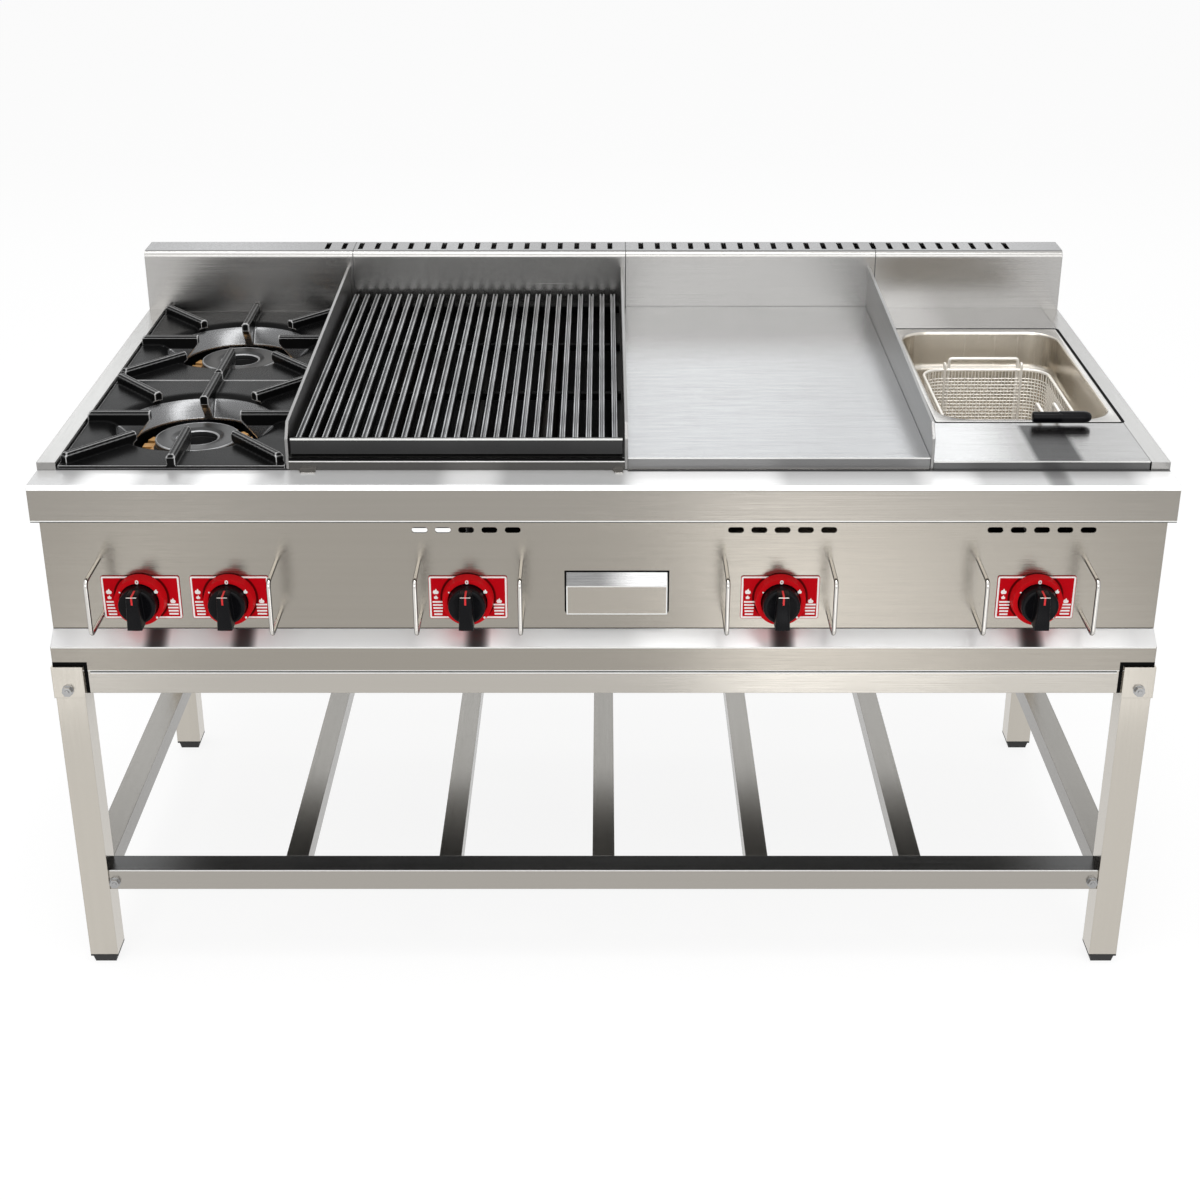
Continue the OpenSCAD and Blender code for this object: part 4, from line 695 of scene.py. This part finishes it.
# %% [markdown]
# The knobs are moulded black phenolic: a round skirt with a grip across it, a red pointer and one fine bright line of
# painted highlight.
# The grip is lofted through one outline at several depths. It shrinks a little at the front, so its edge is soft.

# %% Knobs
KNOB_X = [round((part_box(f"knob_{k}")[0][0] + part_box(f"knob_{k}")[1][0]) / 2 / MM, 3) for k in range(1, 6)]
KNOB_Z = 578.5
KNOB_BACK = 33.0
GRIP_HALF, GRIP_TOP, GRIP_LOW = 24.8, 15.0, 20.0
SKIRT = [(4.4, 0), (25.2, 0), (26, 0.9), (25.0, 27.4), (24.4, 29.0), (23.0, 29.8), (20.5, 30), (19.5, 29.6),
    (4.4, 29.6)]


def grip_section(inset, y):
    """The grip's outline at one depth: a tall rounded bar, wider at its lower end."""
    ring = []
    for px, pz in round_rect(1.0, 2 * (GRIP_HALF - inset), 0.5, 4):
        half = ((GRIP_TOP + GRIP_LOW) / 2 + (GRIP_TOP - GRIP_LOW) / 2 * pz / GRIP_HALF) / 2 - inset
        ring.append((2 * px * half, y, pz))
    return ring


for k, x in enumerate(KNOB_X, 1):
    knob = Piece(f"moulded_knob_{k}")
    knob.lathe(SKIRT, (x, KNOB_BACK, KNOB_Z), "y", 72)
    stations = ((0, 5), (0, -16.6), (0.4, -17.5), (1.2, -18.0))
    knob.loft([[(x + px, py, KNOB_Z + pz) for px, py, pz in grip_section(inset, y)] for inset, y in stations])
    knob.box((x - 1.3, -17.8, KNOB_Z + 13.2), (x + 1.3, -18.15, KNOB_Z + 23.6), mark=1)
    knob.box((x - 1.3, -17.6, KNOB_Z + 24.4), (x + 1.3, 3.2, KNOB_Z + 25.1), mark=1)
    # Painted highlight: a fine bright line across the grip's front near its top.
    knob.box((x - 7.0, -17.2, KNOB_Z + 23.6), (x + 7.0, -18.1, KNOB_Z + 24.5), mark=2)
    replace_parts(knob.make(f"knob_{k}", [BLACK, POINTER, WIRE], bevel=0.25), f"knob_{k}")
print("knobs at", KNOB_X)

# %% [markdown]
# The prints on the dial plates are screen-printed white ink. A mark a few hundredths of a millimetre above the red
# enamel reads as print, and costs only a few faces. The signs are plain generic ones: a zero, a flame and bars.

# %% Prints on the dials
PLATE_FRONT, RING_FRONT = 36.5, 19.0


def ink(piece, outline, x, y, z):
    """A flat mark in the plane of the dial plate: outline points are (across, up)."""
    piece.add([(x + a, y, z + b) for a, b in outline], [tuple(range(len(outline)))])


def ink_frame(piece, w, l, r, line, x, y, z):
    outer, inner = round_rect(w, l, r, 4), round_rect(w - 2 * line, l - 2 * line, max(0.4, r - line), 4)
    n = len(outer)
    piece.add([(x + a, y, z + b) for a, b in outer + inner],
        [(j, (j + 1) % n, n + (j + 1) % n, n + j) for j in range(n)])


def disc(r, sides=16):
    return [(r * cos(2 * pi * k / sides), r * sin(2 * pi * k / sides)) for k in range(sides)]


FLAME = [(-1.6, -2.6), (1.6, -2.6), (2.4, -0.6), (1.5, 1.2), (1.2, 0.4), (0.2, 3.2), (-1.0, 1.2), (-1.6, 1.6),
    (-2.4, -0.6)]
for k, x in enumerate(KNOB_X, 1):
    prints = Piece(f"dial_print_{k}")
    y = PLATE_FRONT - 0.12
    ink_frame(prints, 104.8, 61.8, 2.4, 2.4, x, y, KNOB_Z)
    for low_x, high_x, first, count in ((-48.4, -34.0, -5.6, 5), (34.0, 49.0, -9.6, 4)):
        for i in range(count):
            top = first - 4.6 * i
            ink(prints, [(low_x + 0.4 * i, top - 2.4), (high_x - 0.4 * i, top - 2.4), (high_x - 0.4 * i, top),
                (low_x + 0.4 * i, top)], x, y, KNOB_Z)
    for across, up, size in ((-43.5, 8.5, 1.7), (-43.5, 0, 1.2), (41.8, -5.2, 1.6)):
        ink(prints, [(a * size, b * size * 0.8) for a, b in FLAME], x + across, y, KNOB_Z + up)
    ring_y = RING_FRONT + 0.1
    ink_frame(prints, 4.6, 6.0, 2.2, 1.6, x, ring_y, KNOB_Z + 30)
    ink(prints, [(a * 1.2, b * 1.1) for a, b in FLAME], x + 24.5, ring_y, KNOB_Z + 16.5)
    ink(prints, disc(1.6), x + 22.5, ring_y, KNOB_Z - 22)
    ink(prints, disc(1.2), x - 24.5, ring_y, KNOB_Z + 15)
    prints.make("range", [WHITE], smooth=False)
print("dial prints made")

# %% [markdown]
# The fryer pan is deep drawn from one sheet, so every corner is a fillet and the wall has a step half way down that
# carries a rack. The skin is lofted through rounded rectangles, down the inside and up again on the outside.

# %% Fryer pan
pan_low, pan_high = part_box("fryer_pan")
PAN_X = (pan_low.x + pan_high.x) / 2 / MM
PAN_Y = (pan_low.y + pan_high.y) / 2 / MM - DECK_Y
PAN_W, PAN_L = (pan_high.x - pan_low.x) / MM, (pan_high.y - pan_low.y) / MM
PAN_TOP, PAN_BOTTOM = pan_high.z / MM, pan_low.z / MM
MOUTH_W, MOUTH_L = PAN_W - 18, PAN_L - 28
print("pan", round(PAN_W), "x", round(PAN_L), "mm, mouth", round(MOUTH_W), "x", round(MOUTH_L))


def pan_ring(inset, z, r):
    return [(PAN_X + a, PAN_Y + b, z) for a, b in round_rect(MOUTH_W - 2 * inset, MOUTH_L - 2 * inset, r, 9)]


pan = Piece("drawn_pan")
floor_z = PAN_BOTTOM + 2
inside = [(26, floor_z + 0.4, 22), (16, floor_z + 1.4, 30), (9, floor_z + 5, 36), (5.6, floor_z + 12, 40),
    (4.2, floor_z + 24, 41), (4, PAN_TOP - 66, 41), (3.6, PAN_TOP - 60, 42), (1.6, PAN_TOP - 57, 44),
    (0.4, PAN_TOP - 54.5, 45), (0, PAN_TOP - 50, 45), (0, PAN_TOP - 5, 45), (-0.5, PAN_TOP - 2.4, 45.5),
    (-1.8, PAN_TOP - 0.7, 47), (-3.4, PAN_TOP, 48)]
rings = [pan_ring(60, floor_z, 10)] + [pan_ring(*spot) for spot in inside]
rim = [(PAN_X + a, PAN_Y + b, PAN_TOP) for a, b in round_rect(PAN_W - 1.2, PAN_L - 1.2, 4, 9)]
rings.append(rim)
for drop in (1, 2):
    rings.append([(PAN_X + a, PAN_Y + b, PAN_TOP - drop) for a, b in round_rect(PAN_W, PAN_L, 4, 9)])
rings += [pan_ring(inset - 2, z - 2, r + 2) for inset, z, r in inside[::-1][1:]]
pan.loft(rings)
around = len(rim)
for i in range(around * (len(inside) - 1), around * (len(inside) + 3)):
    pan.marks[i] = 1
for i in range(4):
    z = PAN_TOP - 74 - 13 * i
    y0, y1 = PAN_Y - 128 + 6 * i, PAN_Y - 48 + 6 * i
    wall = PAN_X + MOUTH_W / 2 - 4
    pan.tube([(wall + 1.6, y0 - 4, z), (wall - 0.6, y0, z), (wall - 0.8, (y0 + y1) / 2, z), (wall - 0.6, y1, z),
        (wall + 1.6, y1 + 4, z)], 1.9, 8)
# Painted shade: a dark ring in the gap round the pan's rim.
gap_outline = [round_rect(PAN_W + 2 * wider, PAN_L + 2 * wider, 4 + wider, 9) for wider in (0.2, 4.2)]
pan.loft([[(PAN_X + a, PAN_Y + b, PAN_TOP + 0.15) for a, b in outline] for outline in gap_outline],
    caps=False, mark=2)
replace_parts(pan.make("range", [PAN, STEEL_X, BURNT_AND_SHADE_BLACK]), "fryer_pan")

# %% [markdown]
# The basket is woven wire cloth with a heavy rim. Two sets of thin wires pass over and under each other, so each is
# a tube whose path swings in and out by half a wire at every crossing. Real crossings are what make the cloth read
# as a mesh from every side, which a see-through texture would not.

# %% Wire basket
BASKET_W, BASKET_L, BASKET_R = 192.0, 288.0, 33.0
BASKET_X, BASKET_Y = PAN_X, PAN_Y - 22
BASKET_LOW, BASKET_TOP = 610.4, 733.3
WEAVE, WIRE_R = 5.2, 0.75
basket = Piece("woven_basket")


def wall_path(inset, z, wave):
    """Points round the basket's wall, swinging in and out of it by the wave."""
    outline = round_rect(BASKET_W - 2 * inset, BASKET_L - 2 * inset, BASKET_R - inset, 12)
    spots = []
    for i, a in enumerate(outline):
        b = outline[(i + 1) % len(outline)]
        length = hypot(b[0] - a[0], b[1] - a[1])
        spots.append((a, b, length))
    total = sum(s[2] for s in spots)
    count = 2 * round(total / WEAVE / 2)
    path, run, index, past = [], 0.0, 0, 0.0
    for k in range(count):
        goal = total * k / count
        while past + spots[index][2] < goal:
            past += spots[index][2]
            index += 1
        a, b, length = spots[index]
        t = (goal - past) / length if length else 0
        x, y = a[0] + (b[0] - a[0]) * t, a[1] + (b[1] - a[1]) * t
        nx, ny = (b[1] - a[1]) / length, (a[0] - b[0]) / length
        swing = wave * (1 if k % 2 else -1)
        path.append((BASKET_X + x + nx * swing, BASKET_Y + y + ny * swing, z))
    return path


rows = int((BASKET_TOP - 8 - BASKET_LOW - 8) / WEAVE)
hoops = [wall_path(0.8, BASKET_LOW + 8 + WEAVE * i, 0.55 * (1 if i % 2 else -1)) for i in range(rows)]
for hoop in hoops:
    basket.tube(hoop, WIRE_R, 5, closed=True)
for k in range(len(hoops[0])):
    column = [(hoops[(i + 1) % 2][k][0], hoops[(i + 1) % 2][k][1], hoop[k][2]) for i, hoop in enumerate(hoops)]
    foot = column[0]
    inward = Vector((BASKET_X - foot[0], BASKET_Y - foot[1], 0)).normalized()
    start = [(foot[0] + inward.x * s, foot[1] + inward.y * s, BASKET_LOW + h) for s, h in ((7, 0.3), (2.4, 2.2))]
    basket.tube(start + column + [(column[-1][0], column[-1][1], BASKET_TOP - 4)], WIRE_R, 5)
for axis in (0, 1):
    span_along, span_across = (BASKET_W, BASKET_L) if axis == 0 else (BASKET_L, BASKET_W)
    lines = int((span_across - 16) / WEAVE)
    for j in range(lines + 1):
        across = (j - lines / 2) * WEAVE
        inset = max(0.0, abs(across) - (span_across / 2 - BASKET_R))
        half = span_along / 2 - BASKET_R + (max(0.0, BASKET_R ** 2 - inset ** 2)) ** 0.5 - 4
        steps = int(2 * half / WEAVE)
        path = []
        for i in range(steps + 1):
            along = (i - steps / 2) * WEAVE
            lift = 0.6 * (1 if (i + j) % 2 else -1) * (1 if axis == 0 else -1)
            spot = (along, across) if axis == 0 else (across, along)
            path.append((BASKET_X + spot[0], BASKET_Y + spot[1], BASKET_LOW + 0.6 + lift))
        basket.tube(path, WIRE_R, 5)
basket.tube([(BASKET_X + a, BASKET_Y + b, BASKET_TOP - 2.5) for a, b in round_rect(BASKET_W + 2, BASKET_L + 2,
    BASKET_R + 1, 10)], 2.5, 10, closed=True)
basket.tube([(BASKET_X + a, BASKET_Y + b, BASKET_LOW + 7) for a, b in round_rect(BASKET_W + 1, BASKET_L + 1,
    BASKET_R, 10)], 1.6, 8, closed=True)


def bent(corners, radius, steps=6):
    """A path through corners with each bend rounded."""
    path = [Vector(corners[0])]
    for before, corner, after in zip(corners, corners[1:], corners[2:]):
        corner = Vector(corner)
        a, b = (Vector(before) - corner).normalized(), (Vector(after) - corner).normalized()
        for i in range(steps + 1):
            t = i / steps
            path.append(corner + a * radius * (1 - t) ** 2 + b * radius * t ** 2)
    return path + [Vector(corners[-1])]


HOOK, HOOK_UP = 53.5, 15
back = BASKET_Y + BASKET_L / 2 + 3
basket.tube(bent([(BASKET_X - HOOK, back, BASKET_LOW + 20), (BASKET_X - HOOK, back, BASKET_TOP + HOOK_UP),
    (BASKET_X + HOOK, back, BASKET_TOP + HOOK_UP), (BASKET_X + HOOK, back, BASKET_LOW + 20)], 5), 2.4, 10)
for side in (-1, 1):
    basket.tube(bent([(BASKET_X + side * (HOOK + 6), back - 4, BASKET_LOW + 20),
        (BASKET_X + side * (HOOK + 6), back - 4, BASKET_TOP + 7), (BASKET_X + side * (HOOK + 6), back + 5,
        BASKET_TOP + 7), (BASKET_X + side * (HOOK + 6), back + 5, BASKET_TOP - 24)], 3.5), 2.0, 8)
TANG_Z, TANG_Y = 778.0, 200.0
front = BASKET_Y - BASKET_L / 2 - 3
for x in (BASKET_X + 20, BASKET_X + 44):
    basket.tube(bent([(x, front, BASKET_LOW + 20), (x, front, TANG_Z), (x, TANG_Y, TANG_Z)], 8), 2.4, 10)
basket.tube([(BASKET_X + 8, TANG_Y, TANG_Z), (BASKET_X + 70, TANG_Y, TANG_Z)], 4, 12)
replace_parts(basket.make("fry_basket", [MESH_WIRE]), "fry_basket")
print("basket wires:", len(basket.faces), "faces")

# %% [markdown]
# The grip is a moulded black sleeve over the basket's two tang wires, thicker and slightly flat at its outer part.
# One row of rings along its length gives both shapes.

# %% Basket handle
grip = Piece("basket_grip")
x0 = BASKET_X + 2
profile = [(0.1, 0), (5.5, 0), (7, 0.8), (7.5, 2.4), (7.5, 35), (7.7, 36.6), (8.6, 38), (9, 40.5), (9, 70),
    (8.6, 74), (7.2, 78), (4.6, 81), (2, 82), (0.1, 82)]
rings = []
for r, h in profile:
    flat = 1.0 if h < 40 else 0.92
    rings.append([(x0 + h, TANG_Y + r * cos(2 * pi * i / 32), TANG_Z + r * flat * sin(2 * pi * i / 32))
        for i in range(32)])
grip.loft(rings)
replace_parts(grip.make(BODY_OF["basket_handle"], [BLACK]), "basket_handle")

# %% [markdown]
# The charbroiler's grate is cast iron: parallel bars with a grease groove along each. A bar's section is drawn once,
# with rounded shoulders, and is drawn out from the front bar to a round end at the back.

# %% Charbroiler grate
grate_low, grate_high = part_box("char_grate")
FIRE_X0, FIRE_X1 = grate_low.x / MM, grate_high.x / MM
BAR_N, BAR_W, BAR_TOP, BAR_H = 25, 8.0, 797.0, 18.0
BAR_Y0, BAR_Y1 = 62.0, 749.0
bar_pitch = (FIRE_X1 - FIRE_X0 - 12 - BAR_W) / (BAR_N - 1)
SECTION = [(-3.0, -18), (3.0, -18), (3.8, -16), (4.0, -2.6), (3.7, -0.9), (3.0, -0.1), (2.4, -0.1), (1.9, -0.8),
    (1.5, -3.6), (0.9, -5.0), (-0.9, -5.0), (-1.5, -3.6), (-1.9, -0.8), (-2.4, -0.1), (-3.0, -0.1), (-3.7, -0.9),
    (-4.0, -2.6), (-3.8, -16)]
LAND, GROOVE, SIDE = 2, 3, 1
# Lands are light, partly rubbed metal and partly a painted highlight; sides are near black, burnt and painted shade
# in the gaps.
SECTION_MARKS = [SIDE] * 3 + [LAND] * 4 + [GROOVE] * 5 + [LAND] * 4 + [SIDE] * 2
bars = Piece("cast_bars")
for i in range(BAR_N):
    x = (FIRE_X0 + FIRE_X1) / 2 + (i - (BAR_N - 1) / 2) * bar_pitch
    stations = [(BAR_Y0 + 5, 1, 0), (BAR_Y1 - 6, 1, 0), (BAR_Y1 - 3, 0.94, 0.3), (BAR_Y1 - 1, 0.72, 1.2),
        (BAR_Y1, 0.4, 3)]
    bars.loft([[(x + a * s, y, BAR_TOP + min(b, -drop)) for a, b in SECTION] for y, s, drop in stations],
        mark=SECTION_MARKS)
# Cross bars under the grate are near black: burnt, and painted shade.
for y in (BAR_Y0 + 6, BAR_Y0 + 229, BAR_Y0 + 458, BAR_Y1 - 24):
    bars.box((FIRE_X0, y, 771.3), (FIRE_X1, y + 10, BAR_TOP - BAR_H + 2), mark=1)
front_bar = [(0, -21.7), (0, -1.4), (0.5, -0.4), (1.5, 0), (4.5, 0), (5.5, -0.4), (6, -1.4), (6, -21.7)]
bars.loft([[(x, BAR_Y0 + a, BAR_TOP + b) for a, b in front_bar] for x in (FIRE_X0, FIRE_X1)])
# Painted highlight along the front bar's top edge.
bars.strip(FIRE_X0, FIRE_X1, BAR_Y0, BAR_TOP - 2.4, BAR_TOP + 0.1, LAND + 2)
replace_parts(bars.make("char_grate", [CHAR_IRON, BURNT_AND_SHADE_BLACK, BAR_LAND, BAR_GROOVE, PAINTED_HIGHLIGHT]),
    "char_grate")
print("bars", BAR_N, "pitch", round(bar_pitch, 2))

# %% [markdown]
# Folded edges show as bright lines, and the gaps between sheets as dark ones. They are drawn here as plain strips a
# millimetre or two high and a fraction of one thick. The range has no such trim: the bright strips are painted
# highlights, and the dark ones painted shade in the joints, under edges and round the brackets. The two tabs are
# small plates at the deck's edge.

# %% Painted highlights, painted shade and tabs
BRIGHT, DARK, TAB = 0, 1, 2
DECK_LOW, LEDGE_TOP, LEDGE_LOW, BODY_LOW = 704.0, 531.0, 515.0, 478.5
PANEL_Y, BAND_Y, RAIL_Y, BOX_Y = 38.0, 13.0, 14.0, 58.0
fire, plate, fryer = (tuple(corner[0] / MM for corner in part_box(node))
    for node in ("char_firebox", "griddle_plate", "fryer_top"))
edges = Piece("edge_lines")
# Bright strips are painted highlights along edges; dark strips are painted shade in joints and under edges.
edges.strip(-750, 750, 0, DECK_LOW, DECK_LOW + 1.6, BRIGHT)
edges.strip(-750, 750, 0.5, DECK_LOW - 1.2, DECK_LOW, DARK)
edges.strip(-749, 749, PANEL_Y, LEDGE_TOP, LEDGE_TOP + 1.2, DARK)
edges.strip(-749, 749, BAND_Y, LEDGE_LOW - 1.8, LEDGE_LOW, BRIGHT)
edges.strip(-749, 749, BAND_Y, BODY_LOW, BODY_LOW + 1.2, BRIGHT)
edges.strip(-700, 700, RAIL_Y, BODY_LOW - 2.4, BODY_LOW - 0.1, DARK)
edges.strip(-700, 700, RAIL_Y, BODY_LOW - 4.2, BODY_LOW - 2.4, BRIGHT)
edges.strip(-708, 708, RAIL_Y, 156.2, 158.0, BRIGHT)
edges.strip(*fire, BOX_Y, 767.0, 771.0, DARK)
edges.strip(*fire, BOX_Y, 765.4, 767.0, BRIGHT)
edges.strip(*plate, 62.0, 768.4, 770.0, BRIGHT)
edges.strip(*plate, BOX_Y, 754.1, 755.0, DARK)
edges.strip(*fryer, BOX_Y, 765.2, 767.0, BRIGHT)
# Painted shadow round each corner bracket.
for side in (-1, 1):
    across = sorted((side * 750, side * 703))
    edges.strip(*across, BAND_Y, 486.3, 492.0, DARK)
    across = sorted((side * 708, side * 703))
    edges.strip(*across, BAND_Y, BODY_LOW, 486.3, DARK)
    edges.strip(*across, RAIL_Y, 444.5, BODY_LOW, DARK)
for x0, x1 in ((-403.6, -380.5), (11.3, 26.0)):
    edges.loft([[(x0 + 4, 46, z), (x1, 46, z), (x1, 58, z), (x0, 58, z)] for z in (754.0, 755.2)], mark=TAB)
edges.make("range", [PAINTED_HIGHLIGHT, BURNT_AND_SHADE_BLACK, STEEL_X], smooth=False)

# %% [markdown]
# The drawer's front is a folded tray front: the strips of painted highlight on its edges slide with it, while the
# painted shade in the gap round it belongs to the panel behind.

# %% Lines round the drawer
(DRAWER_X0, DRAWER_Y, DRAWER_Z0), (DRAWER_X1, _, DRAWER_Z1) = (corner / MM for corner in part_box("grease_drawer"))
DRAWER_Y, LIP_Z = DRAWER_Y - DECK_Y, DRAWER_Z1 - 16
front_lines = Piece("drawer_edge_lines")
front_lines.strip(DRAWER_X0, DRAWER_X1, DRAWER_Y, DRAWER_Z0, DRAWER_Z0 + 1.4)
front_lines.strip(DRAWER_X0, DRAWER_X1, DRAWER_Y, LIP_Z - 1.4, LIP_Z)
for x in (DRAWER_X0, DRAWER_X1 - 1.6):
    front_lines.strip(x, x + 1.6, DRAWER_Y, DRAWER_Z0 + 1.4, LIP_Z - 1.4)
front_lines.make("grease_drawer", [PAINTED_HIGHLIGHT], smooth=False)
# Painted shade in the gap round the drawer.
drawer_gap = Piece("drawer_gap")
for x0, x1, z0, z1 in ((DRAWER_X0 - 2.6, DRAWER_X0 - 0.4, DRAWER_Z0, DRAWER_Z1 + 0.4),
        (DRAWER_X1 + 0.4, DRAWER_X1 + 2.6, DRAWER_Z0, DRAWER_Z1 + 0.4),
        (DRAWER_X0 - 2.6, DRAWER_X1 + 2.6, DRAWER_Z1 + 0.4, DRAWER_Z1 + 2.4)):
    drawer_gap.strip(x0, x1, PANEL_Y, z0, z1)
drawer_gap.make("range", [BURNT_AND_SHADE_BLACK], smooth=False)
print("edge lines made, drawer front at", round(DRAWER_Y, 1))

# %% [markdown]
# The floor has to look white behind the object and still keep its shadow. Rays from the camera, and those that arrive
# by a mirror or through a clear surface, see a glowing white. All other rays see a plain pale floor, which lights the
# underside as paper would.

# %% Floor
def seen_directly(tree):
    """1 for a ray from the camera, off a mirror or through a clear surface, and 0 for all others."""
    path = tree.nodes.new("ShaderNodeLightPath")
    total = path.outputs["Is Camera Ray"]
    for ray in ("Is Glossy Ray", "Is Transmission Ray"):
        more = tree.nodes.new("ShaderNodeMath")
        more.operation = "ADD"
        tree.links.new(total, more.inputs[0])
        tree.links.new(path.outputs[ray], more.inputs[1])
        total = more.outputs[0]
    return total


FLOOR_REACH = 14
corners = [(-FLOOR_REACH, -FLOOR_REACH, 0), (FLOOR_REACH, -FLOOR_REACH, 0), (FLOOR_REACH, FLOOR_REACH, 0),
    (-FLOOR_REACH, FLOOR_REACH, 0)]
floor_mesh = bpy.data.meshes.new("floor")
floor_mesh.from_pydata(corners, [], [(0, 1, 2, 3)])
floor = bpy.data.objects.new("floor", floor_mesh)
bpy.context.scene.collection.objects.link(floor)
paint = bpy.data.materials.new("floor_white")
paint.use_nodes = True
tree = paint.node_tree
tree.nodes.clear()
output = tree.nodes.new("ShaderNodeOutputMaterial")
plain_floor, seen_floor, glow, both, pick = (tree.nodes.new("ShaderNode" + kind) for kind in ("BsdfDiffuse",
    "BsdfDiffuse", "Emission", "AddShader", "MixShader"))
plain_floor.inputs["Color"].default_value = (0.8, 0.8, 0.8, 1)
seen_floor.inputs["Color"].default_value = (0.2, 0.2, 0.2, 1)
glow.inputs["Color"].default_value = (0.86, 0.86, 0.86, 1)
for a, b in ((seen_directly(tree), pick.inputs[0]), (plain_floor.outputs[0], pick.inputs[1]),
        (glow.outputs[0], both.inputs[0]), (seen_floor.outputs[0], both.inputs[1]),
        (both.outputs[0], pick.inputs[2]), (pick.outputs[0], output.inputs["Surface"])):
    tree.links.new(a, b)
floor_mesh.materials.append(paint)
print("floor", 2 * FLOOR_REACH, "m across")

# %% [markdown]
# The surround is split in the same way: full white where it is seen or mirrored, and half as strong where it lights
# the object, so that the lamps can shape it.

# %% Surround
world = bpy.data.worlds.new("surround")
bpy.context.scene.world = world
world.use_nodes = True
tree = world.node_tree
tree.nodes.clear()
output = tree.nodes.new("ShaderNodeOutputWorld")
light, white, pick = (tree.nodes.new("ShaderNode" + kind) for kind in ("Background", "Background", "MixShader"))
for backdrop, strength in ((light, 0.5), (white, 1.0)):
    backdrop.inputs["Strength"].default_value = strength
    backdrop.inputs["Color"].default_value = (1, 1, 1, 1)
for a, b in ((seen_directly(tree), pick.inputs[0]), (light.outputs[0], pick.inputs[1]),
        (white.outputs[0], pick.inputs[2]), (pick.outputs[0], output.inputs["Surface"])):
    tree.links.new(a, b)
print("surround made")

# %% [markdown]
# Steel shows what stands round it, so the lamps are broad soft faces. A wide one and six strips stand behind, one
# hangs above, a brighter narrow one hangs over the deck, one stands far in front, and four strips lie on the floor.


# %% Lamps
def softbox(name, place, aim, width, height, radiance, colour=(1, 1, 1)):
    """A soft rectangular lamp whose face has the given brightness, where 1 is white."""
    lamp = bpy.data.lights.new(name, "AREA")
    lamp.shape, lamp.size, lamp.size_y = "RECTANGLE", width, height
    lamp.energy, lamp.color = radiance * pi * width * height, colour
    stand = bpy.data.objects.new(name, lamp)
    bpy.context.scene.collection.objects.link(stand)
    stand.location = place
    stand.rotation_euler = (Vector(aim) - Vector(place)).to_track_quat("-Z", "Y").to_euler()
    stand.visible_camera = False


COOL = (0.95, 0.98, 1)
STRIPS_BEHIND = ((-2.0, 0.5, 0.7), (-1.35, 0.4, 0.7), (-0.5, 0.35, 0.7), (0.42, 0.8, 0.5), (1.3, 0.45, 0.7),
    (2.1, 0.5, 0.4))
STRIPS_ON_FLOOR = ((-0.98, 0.14, 0.6), (0.32, 0.22, 1.4), (0.55, 0.30, 1.0), (0.90, 0.30, 0.5))
softbox("lamp_behind", (0, 4.2, 2.4), (0, 0, 0.9), 6.0, 1.0, 0.45, COOL)
for number, (x, width, radiance) in enumerate(STRIPS_BEHIND):
    softbox(f"strip_behind_{number}", (x, 4.1, 2.4), (x * 0.4, 0, 0.9), width, 1.0, radiance, COOL)
softbox("lamp_above", (0, -1.6, 3.6), (0, 0, 0.7), 4.0, 2.2, 0.6)
softbox("lamp_key", (-0.2, -0.3, 3.4), (0, 0, 0.75), 3.2, 0.7, 5.0)
softbox("lamp_front", (0, -4.6, 2.3), (0, 0, 0.8), 6.0, 1.8, 1.9)
for number, (x, width, radiance) in enumerate(STRIPS_ON_FLOOR):
    softbox(f"strip_on_floor_{number}", (x, -1.85, 0.01), (x, -1.85, 1), width, 1.4, radiance)
print("lamps", len(bpy.data.lights))

# %% [markdown]
# Standard view keeps each colour as it is written. A dressed part may not grow.

# %% View
bpy.context.scene.view_settings.view_transform = "Standard"
